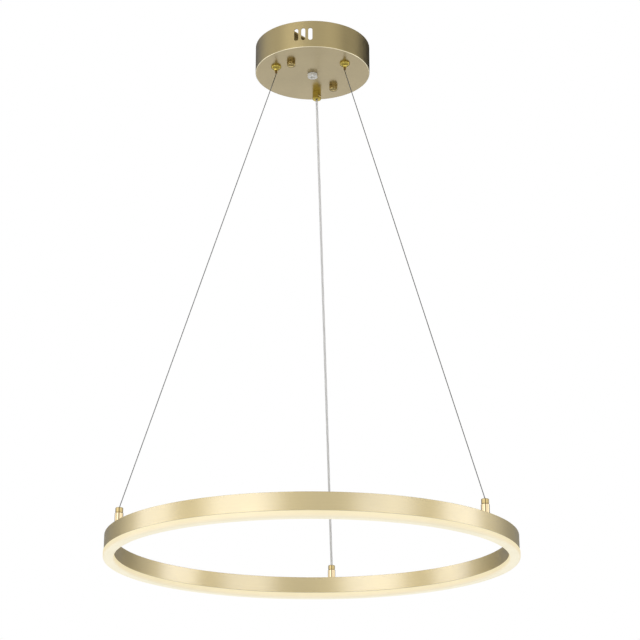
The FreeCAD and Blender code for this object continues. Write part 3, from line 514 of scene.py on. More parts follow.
# Studio: white backdrop and pale floor, two soft lamps, and what polished metal mirrors: tall
# white strips round the horizon and a softer, dimmer light above; bearings are in degrees
studio = {
    "backdrop": 1.0,
    "fill": 0.55,
    "horizon": 0.78,
    "sills": (-0.12, 0.04, 0.4),  # where the horizon starts, and what is left of it below
    "behind": (8, 108, 138),  # middle, start, full
    "behindLevel": 0.25,
    # Bearing, half width and level of each strip
    "strips": [(-32, 19, 2.1), (-88, 14, 1.6), (46, 16, 1.5), (95, 14, 1.9)],
    "stripTops": (0.30, 0.40),
    "above": 0.46,
    "aboveSwing": 0.44,
    "aboveBearing": -16,
    "zenith": (0.6, 0.85),
    "zenithLevel": 0.35,
    "floorHeight": -1.9,
    "floorSize": 14.0,
    "floorColour": (0.86, 0.86, 0.86, 1),
    "floorRough": 0.7,
    "floorFade": (0.08, 0.3),  # in floor sizes
    # The dim level within is a painted shade under the lamp, seen only in reflections
    "floorMirrored": (0.12, 0.21, 0.25, 1.1),  # in floor sizes, then the levels within and beyond
    "lamps": [
        ("frontLamp", (-1.5, -2.6, -0.1), (1.6, 1.6), 30.0),
        ("sideLamp", (2.3, -1.5, 0.3), (1.2, 1.8), 16.0),
    ],
    "aim": (0.0, 0.0, -0.4),
}


def farFrom(tree, bearing, middle):
    return calc(tree, "ABSOLUTE", calc(tree, "SUBTRACT", bearing, middle))


def mirroredLevel(tree):
    spot = addNode(tree, "TexCoord").outputs["Generated"]
    across, depth, up = addNode(tree, "SeparateXYZ", Vector=spot).outputs
    bearing = calc(tree, "ARCTAN2", across, calc(tree, "MULTIPLY", depth, -1.0))
    middle, start, full = (math.radians(angle) for angle in studio["behind"])
    behind = easeBetween(tree, farFrom(tree, bearing, middle), start, full)
    drop = studio["behindLevel"] - studio["horizon"]
    horizon = calc(tree, "MULTIPLY_ADD", behind, drop, studio["horizon"])
    for middle, half, level in studio["strips"]:
        away, half = farFrom(tree, bearing, math.radians(middle)), math.radians(half)
        strip = calc(tree, "SUBTRACT", 1.0, easeBetween(tree, away, half * 0.5, half * 1.5))
        horizon = calc(tree, "MULTIPLY_ADD", strip, level, horizon)
    start, end, least = studio["sills"]
    sill = calc(tree, "MULTIPLY_ADD", easeBetween(tree, up, start, end), 1 - least, least)
    horizon = calc(tree, "MULTIPLY", horizon, sill)
    swing = calc(tree, "SUBTRACT", bearing, math.radians(studio["aboveBearing"]))
    swing = calc(tree, "COSINE", swing)
    above = calc(tree, "MULTIPLY_ADD", swing, studio["aboveSwing"], studio["above"])
    rise = easeBetween(tree, up, *studio["stripTops"])
    level = calc(tree, "MULTIPLY_ADD", calc(tree, "SUBTRACT", above, horizon), rise, horizon)
    high = easeBetween(tree, up, *studio["zenith"])
    drop = calc(tree, "SUBTRACT", studio["zenithLevel"], level)
    return calc(tree, "MULTIPLY_ADD", drop, high, level)


def mixShaders(tree, share, first, second):
    mix = addNode(tree, "MixShader", Fac=share)
    tree.links.new(first, mix.inputs[1])
    tree.links.new(second, mix.inputs[2])
    return mix.outputs[0]


def background(tree, level):
    return addNode(tree, "Background", Color=(1, 1, 1, 1), Strength=level).outputs[0]


world = bpy.data.worlds.new("studioWorld")
bpy.context.scene.world = world
world.use_nodes = True
sky = world.node_tree
sky.nodes.clear()
rays = addNode(sky, "LightPath").outputs
soft, plain = background(sky, studio["fill"]), background(sky, studio["backdrop"])
shiny = mixShaders(sky, rays["Is Glossy Ray"], soft, background(sky, mirroredLevel(sky)))
seen = calc(sky, "MAXIMUM", rays["Is Camera Ray"], rays["Is Transmission Ray"])
addNode(sky, "OutputWorld", Surface=mixShaders(sky, seen, shiny, plain))

bpy.ops.object.select_all(action="DESELECT")
bpy.ops.mesh.primitive_plane_add(size=1, location=(0, 0, studio["floorHeight"]))
floor = bpy.context.object
floor.name = "floor"
floor.scale = (studio["floorSize"], studio["floorSize"], 1)
floorMaterial, tree, shader = newMaterial("paleFloor")
floor.data.materials.append(floorMaterial)
feed(tree, shader, Base_Color=studio["floorColour"], Roughness=studio["floorRough"])
reach = spanOf(tree, objectSpot(tree))
near, far = studio["floorFade"]
fade = addNode(tree, "MapRange", Value=reach, From_Min=near, From_Max=far).outputs[0]
# Painted shade: seen in reflections, the floor near the middle is dimmer than the white beyond
start, end, within, beyond = studio["floorMirrored"]
beyondMask = easeBetween(tree, reach, start, end)
mirrored = calc(tree, "MULTIPLY_ADD", beyondMask, beyond - within, within)
mirrored = calc(tree, "SUBTRACT", mirrored, 1.0)
rays = addNode(tree, "LightPath").outputs
level = calc(tree, "MULTIPLY_ADD", rays["Is Glossy Ray"], mirrored, 1.0)
seen = calc(tree, "MAXIMUM", rays["Is Camera Ray"], rays["Is Glossy Ray"])
seen = calc(tree, "MAXIMUM", seen, rays["Is Transmission Ray"])
white = addNode(tree, "Emission", Strength=level).outputs[0]
pale = mixShaders(tree, calc(tree, "MULTIPLY", fade, seen), shader.outputs[0], white)
# From below, the floor lets the lamp be seen
below = addNode(tree, "NewGeometry").outputs["Backfacing"]
clear = addNode(tree, "BsdfTransparent").outputs[0]
feed(tree, tree.nodes["Material Output"], Surface=mixShaders(tree, below, pale, clear))

for name, place, size, power in studio["lamps"]:
    lampData = bpy.data.lights.new(name, "AREA")
    lampData.shape = "RECTANGLE"
    lampData.size, lampData.size_y = size
    lampData.energy = power
    lamp = bpy.data.objects.new(name, lampData)
    bpy.context.scene.collection.objects.link(lamp)
    lamp.location = place
    aim = Vector(studio["aim"]) - Vector(place)
    lamp.rotation_euler = aim.to_track_quat("-Z", "Y").to_euler()
    lamp.visible_glossy = False
print("studio ready")

# Modelling helpers; all sizes in mm


def takeUp(*chosen):
    # Only these are selected, and the last is the one worked on
    if bpy.context.object and bpy.context.object.mode != "OBJECT":
        bpy.ops.object.mode_set(mode="OBJECT")
    bpy.ops.object.select_all(action="DESELECT")
    for item in chosen:
        item.select_set(True)
        bpy.context.view_layer.objects.active = item


def openMesh():
    bpy.ops.object.mode_set(mode="EDIT")
    bpy.ops.mesh.select_all(action="SELECT")


def closeMesh():
    bpy.ops.object.mode_set(mode="OBJECT")


def openChosen(piece, kind, wanted):
    # Edit mode with only the wanted vertices, edges or faces selected
    takeUp(piece)
    bpy.ops.object.mode_set(mode="EDIT")
    bpy.ops.mesh.select_mode(type=kind)
    bpy.ops.mesh.select_all(action="DESELECT")
    closeMesh()
    mesh = piece.data
    for part in {"VERT": mesh.vertices, "EDGE": mesh.edges, "FACE": mesh.polygons}[kind]:
        part.select = wanted(part)
    bpy.ops.object.mode_set(mode="EDIT")


def settle(piece, place=(0, 0, 0), turn=(0, 0, 0)):
    # Puts a piece in its place and leaves the place in its mesh
    takeUp(piece)
    piece.rotation_euler = [math.radians(angle) for angle in turn]
    piece.location = Vector(place) * mm
    return settleHere()


def settleHere():
    bpy.ops.object.transform_apply(location=True, rotation=True, scale=True)
    return bpy.context.object


def turnOnLathe(name, outline, sides, bored=False):
    # A circle drawn out along an outline of (radius, height); a bored piece's outline closes
    takeUp()
    radius, height = outline[0]
    bpy.ops.mesh.primitive_circle_add(
        vertices=sides, radius=radius * mm, location=(0, 0, height * mm)
    )
    piece = bpy.context.object
    piece.name = piece.data.name = name
    openMesh()
    for nextRadius, nextHeight in outline[1:] + (outline[:1] if bored else []):
        rise = (0, 0, (nextHeight - height) * mm)
        bpy.ops.mesh.extrude_edges_move(TRANSFORM_OT_translate={"value": rise})
        ratio = nextRadius / radius
        bpy.ops.transform.resize(value=(ratio, ratio, 1), center_override=(0, 0, 0))
        radius, height = nextRadius, nextHeight
    bpy.ops.mesh.select_all(action="SELECT")
    bpy.ops.mesh.remove_doubles(threshold=0.002 * mm)
    if not bored:
        bpy.ops.mesh.fill_holes(sides=0)
    bpy.ops.mesh.select_all(action="SELECT")
    bpy.ops.mesh.normals_make_consistent(inside=False)
    closeMesh()
    return settleHere()


def roundBar(diameter, low, high, sides=48):
    takeUp()
    bpy.ops.mesh.primitive_cylinder_add(
        vertices=sides,
        radius=diameter / 2 * mm,
        depth=(high - low) * mm,
        location=(0, 0, (low + high) / 2 * mm),
    )
    return settleHere()


def brick(low, high, name="brick"):
    # A block between two opposite corners
    takeUp()
    low, high = Vector(low), Vector(high)
    bpy.ops.mesh.primitive_cube_add(size=mm, location=(low + high) / 2 * mm)
    piece = bpy.context.object
    piece.name = piece.data.name = name
    piece.scale = high - low
    return settleHere()


def applyModifier(piece, kind, **settings):
    takeUp(piece)
    modifier = piece.modifiers.new(kind.title(), kind)
    for key, value in settings.items():
        setattr(modifier, key, value)
    bpy.ops.object.modifier_apply(modifier=modifier.name)


def softenEdges(piece, width, segments=2, angle=35):
    applyModifier(
        piece,
        "BEVEL",
        width=width * mm,
        segments=segments,
        limit_method="ANGLE",
        angle_limit=math.radians(angle),
    )


def combine(piece, operation, others):
    for other in others:
        applyModifier(piece, "BOOLEAN", operation=operation, solver="EXACT", object=other)
        bpy.data.objects.remove(other, do_unlink=True)


def roundAlong(piece, axis, radius, segments=5):
    # Rounds the edges of a block that run along an axis
    def runsAlong(edge):
        start, end = (piece.data.vertices[number].co for number in edge.vertices)
        return abs((end - start).normalized()["xyz".index(axis)]) > 0.99

    openChosen(piece, "EDGE", runsAlong)
    bpy.ops.mesh.bevel(offset=radius * mm, segments=segments, affect="EDGES")
    closeMesh()
    return piece


def sinkTop(piece, border, depth):
    # Sinks the flat top inside a border
    top = max(face.center.z for face in piece.data.polygons) - 0.01 * mm
    openChosen(piece, "FACE", lambda face: face.center.z > top and face.normal.z > 0.99)
    bpy.ops.mesh.inset(thickness=border * mm)
    bpy.ops.mesh.extrude_region_move(TRANSFORM_OT_translate={"value": (0, 0, -depth * mm)})
    closeMesh()


threadCrest = (0.35, 0.65)  # where a crest starts and ends, in turns
hexShape = {
    "face": 0.48,  # radius of the flat face, in widths across flats
    "clear": 1.02,
    "faceSides": 48,
    "bevel": 0.06,  # of the bore's edges, in bores
    "past": 0.2,
    "boreSides": 32,
}


def arcOutline(radius, height, reach, start, end, steps):
    # A rounded corner of an outline, its middle at (radius, height)
    points = []
    for step in range(steps + 1):
        angle = math.radians(start + (end - start) * step / steps)
        points.append((radius + reach * math.cos(angle), height + reach * math.sin(angle)))
    return points


def threadOutline(radius, low, high, pitch, depth):
    # Roots and crests from low to high
    points = [(radius - depth, low)]
    turns = max(1, round((high - low) / pitch))
    rise = (high - low) / turns
    for turn in range(turns):
        start = low + rise * turn
        points += [(radius, start + share * rise) for share in threadCrest]
        points.append((radius - depth, start + rise))
    return points


def hexNut(name, flats, low, high, bore, chamfer=0.14):
    # Six sides, their corners turned off at both faces, and a bore with countersinks
    radius = flats / 2 / math.cos(math.radians(30))
    nut = roundBar(radius * 2, low, high, 6)
    nut.name = nut.data.name = name
    face, clear = flats * hexShape["face"], radius * hexShape["clear"]
    slope = (high - low) * chamfer
    corners = [(face, low), (clear, low + slope), (clear, high - slope), (face, high)]
    combine(nut, "INTERSECT", [turnOnLathe("turnedOff", corners, hexShape["faceSides"])])
    if bore:
        bevel, past, radius = bore * hexShape["bevel"], hexShape["past"], bore / 2
        wide = radius + bevel + past
        sink = [(wide, low - past), (radius, low + bevel)]
        sink += [(radius, high - bevel), (wide, high + past)]
        combine(nut, "DIFFERENCE", [turnOnLathe("sink", sink, hexShape["boreSides"])])
    return nut


def dress(piece, material, body, stands, smooth=35):
    # Shading, material, and what the piece rides on and stands for
    takeUp(piece)
    openMesh()
    bpy.ops.mesh.remove_doubles(threshold=0.001 * mm)
    bpy.ops.mesh.normals_make_consistent(inside=False)
    closeMesh()
    bpy.ops.object.shade_smooth_by_angle(angle=math.radians(smooth))
    applyModifier(piece, "WEIGHTED_NORMAL", keep_sharp=True)
    piece.data.materials.clear()
    piece.data.materials.append(materials[material])
    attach(piece, body)
    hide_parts(stands)


def copyTo(piece, name, place, turn=(0, 0, 0)):
    # A copy with its own mesh
    twin = piece.copy()
    twin.data = piece.data.copy()
    twin.name = twin.data.name = name
    bpy.context.scene.collection.objects.link(twin)
    return settle(twin, place, turn)


def discard(*patterns):
    for item in patterns:
        bpy.data.objects.remove(item, do_unlink=True)


# Canopy: a pressed cup with a rounded lower edge, vents and holes
canopy = {
    "radius": 76.0,
    "sheet": 1.0,
    "edge": 0.9,
    "insideEdge": 0.3,
    "rim": 0.3,
    "plugHole": 8.7,
    "stemHole": 10.6,
    "studHole": 4.6,
    "studCircle": 44.45,
    "barAngle": 57,
    "ventAngles": (-100, -93, -86),
    "ventWidth": 5.5,
    "ventLength": 17.5,
    "ventHeight": -19.0,
    "sides": 192,
}
outer, sheet, edge = canopy["radius"], canopy["sheet"], canopy["edge"]
inside, rim = canopy["insideEdge"], canopy["rim"]
outline = [(canopy["plugHole"] / 2, plateUnder)]
outline += arcOutline(outer - edge, plateUnder + edge, edge, -90, 0, 6)
outline += [(outer, -rim), (outer - rim, 0.0), (outer - sheet + rim, 0.0), (outer - sheet, -rim)]
outline += arcOutline(outer - sheet - inside, plateTop + inside, inside, 0, -90, 3)
outline += [(canopy["plugHole"] / 2, plateTop)]
canopyShell = turnOnLathe("canopyShell", outline, canopy["sides"], bored=True)
studPlaces = {
    "rear": onCircle(canopy["studCircle"], canopy["barAngle"]),
    "front": onCircle(canopy["studCircle"], canopy["barAngle"] + 180),
}
tools = []
for wide, spots in ((canopy["stemHole"], gripSpots), (canopy["studHole"], studPlaces)):
    for spot in spots.values():
        tools.append(settle(roundBar(wide, plateUnder - 1, plateTop + 1), (*spot, 0)))
half, width = canopy["ventLength"] / 2, canopy["ventWidth"] / 2
for angle in canopy["ventAngles"]:
    tool = brick((outer - 4, -width, -half), (outer + 4, width, half))
    roundAlong(tool, "x", width - 0.01, 12)
    tools.append(settle(tool, (0, 0, canopy["ventHeight"]), (0, 0, angle)))
combine(canopyShell, "DIFFERENCE", tools)
dress(canopyShell, "canopyGold", "ceiling_unit", "canopy_cup")
print("canopy ready")

# Ring: a channel with soft edges and lips, and the lens held between the lips
ring = {
    "outer": 250.0,
    "width": 11.5,
    "height": 20.5,
    "wall": 1.3,
    "lip": 0.55,
    "lipHeight": 3.0,
    "softEdge": 0.3,
    "postHole": 4.6,
    "overhang": 0.8,
    "drop": 7.5,
    "corner": 2.6,
    "fit": 0.1,
    "gap": 0.03,
    "toe": (0.2, 0.25),  # the slope of the lens's upper edge, across and down
    "tongue": 2.7,
    "sides": 288,
}
outer, inner = ring["outer"], ring["outer"] - ring["width"]
wall, lip, foot = ring["wall"], ring["lip"], -ring["height"]
lipTop = foot + ring["lipHeight"]
outline = [(outer, 0), (outer, foot), (outer - wall - lip, foot), (outer - wall, lipTop)]
outline += [(outer - wall, -wall), (inner + wall, -wall), (inner + wall, lipTop)]
outline += [(inner + wall + lip, foot), (inner, foot), (inner, 0)]
ringChannel = turnOnLathe("ringChannel", outline, ring["sides"], bored=True)
softenEdges(ringChannel, ring["softEdge"], 2, 50)
tools = [settle(roundBar(ring["postHole"], -2, 1), (*spot, 0)) for spot in postSpots.values()]
combine(ringChannel, "DIFFERENCE", tools)
settle(ringChannel, (0, 0, ringTop))
dress(ringChannel, "ringGold", "ring", "ring_channel")

reach, corner = ring["overhang"], ring["corner"]
low, top, tongueTop = foot - ring["drop"], foot - ring["gap"], foot + ring["tongue"]
toe, shoulder = ring["toe"][0], foot - ring["toe"][1]
narrow = wall + lip + ring["fit"]
wide = narrow - lip / ring["lipHeight"] * ring["tongue"]
outline = [(outer + reach - toe, top), (outer + reach, shoulder)]
outline += arcOutline(outer + reach - corner, low + corner, corner, 0, -90, 6)
outline += arcOutline(inner - reach + corner, low + corner, corner, -90, -180, 6)
outline += [(inner - reach, shoulder), (inner - reach + toe, top), (inner + narrow, top)]
outline += [(inner + wide, tongueTop), (outer - wide, tongueTop), (outer - narrow, top)]
lensCover = turnOnLathe("lensCover", outline, ring["sides"], bored=True)
settle(lensCover, (0, 0, ringTop))
dress(lensCover, "opal", "ring", "lens")
print("ring ready")

# Wire grippers: a shallow dome on a threaded stem, with the release nozzle below
gripper = {
    "sides": 64,
    "wireHole": 0.8,
    "guide": 1.68,
    "chamber": 2.38,
    "chamberTop": 11.0,
    "seat": -2.0,
    "stem": 5.0,
    "stemTop": 15.0,
    "stemLead": 0.5,
    "stemEnd": 0.9,
    "pitch": 1.0,
    "threadDepth": 0.45,
    "domeFoot": -6.2,
    "dome": [
        (2.35, -6.2), (2.5, -6.05), (2.6, -5.6), (2.78, -4.6), (2.95, -4.1), (3.3, -3.85),
        (3.9, -3.7), (4.5, -3.5), (5.1, -3.2), (5.65, -2.8), (6.1, -2.35), (6.45, -1.85),
        (6.68, -1.3), (6.75, -0.8), (6.7, -0.2), (6.5, 0.0),
    ],
}


def stemOutline(look, bore):
    # A threaded stem, its rounded end, and the top of the bore in it
    stem, top = look["stem"], look["stemTop"]
    thread = threadOutline(stem, 0.0, top - look["stemLead"], look["pitch"], look["threadDepth"])
    return thread + [(stem - look["stemEnd"], top), (bore, top)]


outline = [(gripper["guide"], gripper["domeFoot"])] + gripper["dome"]
outline += stemOutline(gripper, gripper["wireHole"])
wide, roof, seat = gripper["chamber"], gripper["chamberTop"], gripper["seat"]
outline += [(gripper["wireHole"], roof), (wide, roof), (wide, seat), (gripper["guide"], seat)]
gripperPattern = turnOnLathe("gripperPattern", outline, gripper["sides"], bored=True)
nozzle = {
    "outline": [
        (0.8, -10.0), (1.35, -10.0), (1.6, -9.75), (1.6, -8.9), (1.42, -8.75), (1.42, -8.45),
        (1.6, -8.3), (1.6, -1.95), (2.3, -1.95), (2.3, -1.0), (0.8, -1.0),
    ],
    "sides": 48,
}
nozzlePattern = turnOnLathe("nozzlePattern", nozzle["outline"], nozzle["sides"], bored=True)
for side in ("Left", "Right"):
    spot, low = (*gripSpots[side], plateUnder), side.lower()
    body = copyTo(gripperPattern, "gripperBody" + side, spot)
    dress(body, "grip" + side, "ceiling_unit", "gripper_bodies")
    tip = copyTo(nozzlePattern, "releaseNozzle" + side, spot)
    dress(tip, "nozzleBrass", "nozzle_" + low, f"gripper_{low}_nozzle")
discard(gripperPattern, nozzlePattern)

# Springs above the nozzles, reaching up to the chamber's roof
spring = {
    "wire": 0.5,
    "radius": 2.05,
    "low": -0.95,
    "high": 10.95,
    "turns": 3,
    "sides": 12,
    "steps": 32,
    "travel": 2.0,
}
takeUp()
bpy.ops.mesh.primitive_circle_add(
    vertices=spring["sides"],
    radius=spring["wire"] / 2 * mm,
    location=(spring["radius"] * mm, 0, (spring["low"] + spring["wire"] / 2) * mm),
    rotation=(math.radians(90), 0, 0),
)
springPattern = settleHere()
free = spring["high"] - spring["low"]
applyModifier(
    springPattern,
    "SCREW",
    angle=math.tau,
    iterations=spring["turns"],
    screw_offset=(free - spring["wire"]) / spring["turns"] * mm,
    steps=spring["steps"],
    render_steps=spring["steps"],
)
openMesh()
bpy.ops.mesh.fill_holes(sides=0)
closeMesh()
for side in ("Left", "Right"):
    spot, low = (*gripSpots[side], plateUnder), side.lower()
    coil = copyTo(springPattern, "gripperSpring" + side, spot, (0, 0, sideAngles[side]))
    dress(coil, "spring", "ceiling_unit", f"gripper_{low}_spring", 60)
    roof = tuple((Vector(spot) + Vector((0, 0, spring["high"]))) * mm)
    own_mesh(coil)
discard(springPattern)
print("wire grippers ready")

# Cap nuts below the canopy: round, closed, with a grip of fine ribs and a groove
capNut = {
    "sides": 96,
    "radius": 5.5,
    "ribs": (-3.05, -0.75),
    "ribFoot": 5.4,
    "ribDepth": 0.22,
    "outline": [
        (2.06, -5.4), (2.06, 0.0), (5.0, 0.0), (5.0, -0.45), (5.3, -0.45), (5.5, -0.75),
        (5.5, -3.05), (5.3, -3.3), (5.05, -3.4), (5.05, -3.9), (5.3, -4.05), (5.5, -4.3),
        (5.5, -4.9), (5.4, -5.45), (5.1, -5.95), (4.6, -6.35), (3.9, -6.65), (3.0, -6.85),
        (1.8, -6.97), (0.6, -7.0),
    ],
}
capNutPattern = turnOnLathe("capNutPattern", capNut["outline"], capNut["sides"])


def betweenRibs(point):
    turn = round(math.atan2(point.co.y, point.co.x) / math.tau * capNut["sides"])
    low, high = capNut["ribs"]
    level = (low - 0.01) * mm < point.co.z < (high + 0.01) * mm
    return level and turn % 2 == 0 and point.co.xy.length > capNut["ribFoot"] * mm


openChosen(capNutPattern, "VERT", betweenRibs)
ratio = 1 - capNut["ribDepth"] / capNut["radius"]
bpy.ops.transform.resize(value=(ratio, ratio, 1), center_override=(0, 0, 0))
closeMesh()
for end, spot in studPlaces.items():
    nut = copyTo(capNutPattern, "capNut" + end.title(), (*spot, plateUnder))
    dress(nut, "capNut", "cap_nut_" + end, "cap_nut_" + end, 25)
discard(capNutPattern)

# Cord grip for the power cable, and the slotted screw in its side
cordGrip = {
    "sides": 64,
    "bore": 1.65,
    "boreEdge": 0.4,
    "barrel": 5.8,
    "height": 12.0,
    "topEdge": (0.2, 0.3),
    "edge": [(-0.95, 0.0), (-0.5, 0.2), (-0.12, 0.65), (0.0, 1.1)],  # from the barrel's corner
    "stem": 5.0,
    "stemTop": 11.0,
    "stemLead": 0.5,
    "stemEnd": 0.9,
    "pitch": 1.0,
    "threadDepth": 0.45,
    "screwDrop": 8.0,
    "screwAngle": -45,
    "tapped": 3.12,
}
barrel, low, bore = cordGrip["barrel"], -cordGrip["height"], cordGrip["bore"]
outline = [(bore, low + cordGrip["boreEdge"]), (bore + cordGrip["boreEdge"], low)]
outline += [(barrel + across, low + up) for across, up in cordGrip["edge"]]
across, down = cordGrip["topEdge"]
outline += [(barrel, -down), (barrel - across, 0.0)] + stemOutline(cordGrip, bore)
cordGripBody = turnOnLathe("cordGripBody", outline, cordGrip["sides"], bored=True)
tool = settle(roundBar(cordGrip["tapped"], 0, barrel + 2, 32), turn=(0, 90, 0))
settle(tool, (0, 0, -cordGrip["screwDrop"]), (0, 0, cordGrip["screwAngle"]))
combine(cordGripBody, "DIFFERENCE", [tool])
rearGrip = gripSpots["Rear"]
settle(cordGripBody, (*rearGrip, plateUnder))
dress(cordGripBody, "gripRear", "ceiling_unit", "cord_grip_body")

gripScrew = {
    "sides": 40,
    "kerf": 0.7,
    "kerfFoot": 6.65,
    "outline": [
        (1.1, 1.75), (1.5, 2.1), (1.5, 5.95), (2.1, 5.95), (2.3, 6.1), (2.3, 6.75),
        (2.1, 7.05), (1.7, 7.25), (1.0, 7.34), (0.3, 7.35),
    ],
}
cordGripScrew = turnOnLathe("cordGripScrew", gripScrew["outline"], gripScrew["sides"])
half = gripScrew["kerf"] / 2
combine(cordGripScrew, "DIFFERENCE", [brick((-half, -4, gripScrew["kerfFoot"]), (half, 4, 8))])
settle(cordGripScrew, turn=(0, 90, 0))
screwPlace = (*rearGrip, plateUnder - cordGrip["screwDrop"])
settle(cordGripScrew, screwPlace, (0, 0, cordGrip["screwAngle"]))
dress(cordGripScrew, "capNut", "grip_screw", "cord_grip_screw")

# Nylon plug: a six-sided head with a round recess, and a shank through the plate
plug = {
    "flats": 12.5,
    "height": 5.0,
    "chamfer": 0.22,
    "shank": 4.05,
    "shankTop": 5.0,
    "shankEnd": 0.8,
    "recess": 3.1,
    "sink": 1.6,
    "soft": 0.3,
}
low, wide, high, end = -plug["height"], plug["shank"], plug["shankTop"], plug["shankEnd"]
centrePlug = hexNut("centrePlug", plug["flats"], low, 0, 0, plug["chamfer"])
shank = turnOnLathe("shank", [(wide, -1), (wide, high - end), (wide - end, high)], 48)
combine(centrePlug, "UNION", [shank])
sink = roundBar(plug["recess"] * 2, low - 1, low + plug["sink"], 48)
combine(centrePlug, "DIFFERENCE", [sink])
softenEdges(centrePlug, plug["soft"], 3, 28)
settle(centrePlug, (0, 0, plateUnder))
dress(centrePlug, "nylon", "ceiling_unit", "centre_plug")
print("fittings below the canopy ready")

# Posts on the ring: body, dark gap and cap; two blind, the rear one bored for the cable
post = {
    "sides": 64,
    "body": 5.0,
    "bodyEdges": (0.3, 0.45),
    "height": 10.6,
    "thread": 2.04,
    "threadDepth": 6.0,
    "crown": 0.6,
    "cap": 4.5,
    "capHeight": 6.2,
    "capEdges": (0.15, 0.5),
    "neck": 0.55,
    "gap": 0.55,
    "bore": 1.6,
    "throat": 0.9,
    "shoulder": 1.8,
    "cableBore": 1.65,
}
radius, height, wide = post["body"], post["height"], post["cableBore"]
foot, top = post["bodyEdges"]
bodySide = [(radius - foot, 0), (radius, foot), (radius, height - top), (radius - top, height)]
blindBody = [(post["thread"], post["threadDepth"]), (post["thread"], 0)] + bodySide
blindBody += [(post["crown"], height)]
boredBody = [(wide, 0)] + bodySide + [(wide, height)]
radius, height, gap = post["cap"], post["capHeight"], post["gap"]
foot, top = post["capEdges"]
capSide = [(radius - post["neck"], 0), (radius - post["neck"], gap), (radius - foot, gap)]
capSide += [(radius, gap + foot), (radius, height - top), (radius - top, height)]
shoulder = height - post["shoulder"]
wireCap = [(post["bore"], 0)] + capSide
wireCap += [(post["throat"], height), (post["throat"], shoulder), (post["bore"], shoulder)]
cableCap = [(wide, 0)] + capSide + [(wide, height)]
for side, spot in postSpots.items():
    rear = side == "Rear"
    body = turnOnLathe("postBody" + side, boredBody if rear else blindBody, post["sides"], rear)
    settle(body, (*spot, ringTop))
    dress(body, "post" + side, "ring", "post_bodies")
    cap = turnOnLathe("postCap" + side, cableCap if rear else wireCap, post["sides"], True)
    settle(cap, (*spot, ringTop + post["height"]))
    dress(cap, "cap" + side, "ring", "post_caps")
print("posts ready")

# Crossbar against the ceiling, with its folded earth tab
crossbar = {
    "length": 116.0,
    "width": 24.0,
    "thickness": 2.0,
    "corner": 3.0,
    "soft": 0.2,
    "screwSpacing": 60.0,
    "screwHole": 4.5,
    "tapped": 4.08,
    "centreHole": 12.0,
    "slotMiddle": 16.0,
    "slotLength": 12.0,
    "slotWidth": 5.0,
    "tabWidth": 12.0,
    "tabLength": 11.0,
    "tabCorner": 0.99,
}
half, side, thick = crossbar["length"] / 2, crossbar["width"] / 2, crossbar["thickness"]
mountingBar = brick((-half, -side, -thick), (half, side, 0), "mountingBar")
roundAlong(mountingBar, "z", crossbar["corner"], 6)
half, tabFoot = crossbar["tabWidth"] / 2, -thick - crossbar["tabLength"]
tab = brick((-half, -side, tabFoot), (half, -side + thick, -1))
combine(mountingBar, "UNION", [roundAlong(tab, "y", crossbar["tabCorner"], 4)])
tools = [roundBar(crossbar["centreHole"], -5, 5)]
for sense in (1, -1):
    screwHole = roundBar(crossbar["screwHole"], -5, 5, 32)
    tools.append(settle(screwHole, (crossbar["screwSpacing"] / 2 * sense, 0, 0)))
    studHole = roundBar(crossbar["tapped"], -5, 5, 32)
    tools.append(settle(studHole, (canopy["studCircle"] * sense, 0, 0)))
    reach, width = crossbar["slotLength"] / 2, crossbar["slotWidth"] / 2
    slotHole = brick((-reach, -width, -5), (reach, width, 5))
    roundAlong(slotHole, "z", width - 0.01, 10)
    tools.append(settle(slotHole, (crossbar["slotMiddle"] * sense, 0, 0)))
earthHeight = -thick - crossbar["tabLength"] / 2
earthHole = settle(roundBar(crossbar["tapped"], 0, side + 3, 32), turn=(90, 0, 0))
tools.append(settle(earthHole, (0, 0, earthHeight)))
combine(mountingBar, "DIFFERENCE", tools)
softenEdges(mountingBar, crossbar["soft"], 2, 40)
settle(mountingBar, turn=(0, 0, canopy["barAngle"]))
dress(mountingBar, "bar", "ceiling_unit", "mounting_crossbar")

# Studs from the crossbar down into the cap nuts, and the nuts that lock them
stud = {
    "radius": 2.0,
    "length": 42.8,
    "ends": (1.4, 1.5),
    "lead": 0.5,
    "pitch": 0.9,
    "depth": 0.22,
    "sides": 24,
}
low, lead, (tip, root) = -stud["length"], stud["lead"], stud["ends"]
outline = [(tip, low)]
outline += threadOutline(stud["radius"], low + lead, -lead, stud["pitch"], stud["depth"])
studPattern = turnOnLathe("studPattern", outline + [(root, 0.0)], stud["sides"])
lockNut = {"flats": 7.0, "low": -5.2, "high": -2.0, "bore": 4.08}
lockNutPattern = hexNut("lockNutPattern", **lockNut)
for end, spot in studPlaces.items():
    rod = copyTo(studPattern, "stud" + end.title(), (*spot, 0))
    dress(rod, "zinc", "ceiling_unit", "canopy_studs", 25)
    nut = copyTo(lockNutPattern, "lockNut" + end.title(), (*spot, 0), (0, 0, canopy["barAngle"]))
    dress(nut, "zinc", "ceiling_unit", "stud_lock_nuts", 25)

stemNut = {"flats": 13.0, "low": 0, "high": 3.0, "bore": 10.08}
stemNutPattern = hexNut("stemNutPattern", **stemNut)
for side, angle in sideAngles.items():
    nut = copyTo(stemNutPattern, "stemNut" + side, (*gripSpots[side], plateTop), (0, 0, angle))
    dress(nut, "zinc", "ceiling_unit", "stem_nuts", 25)
discard(studPattern, lockNutPattern, stemNutPattern)

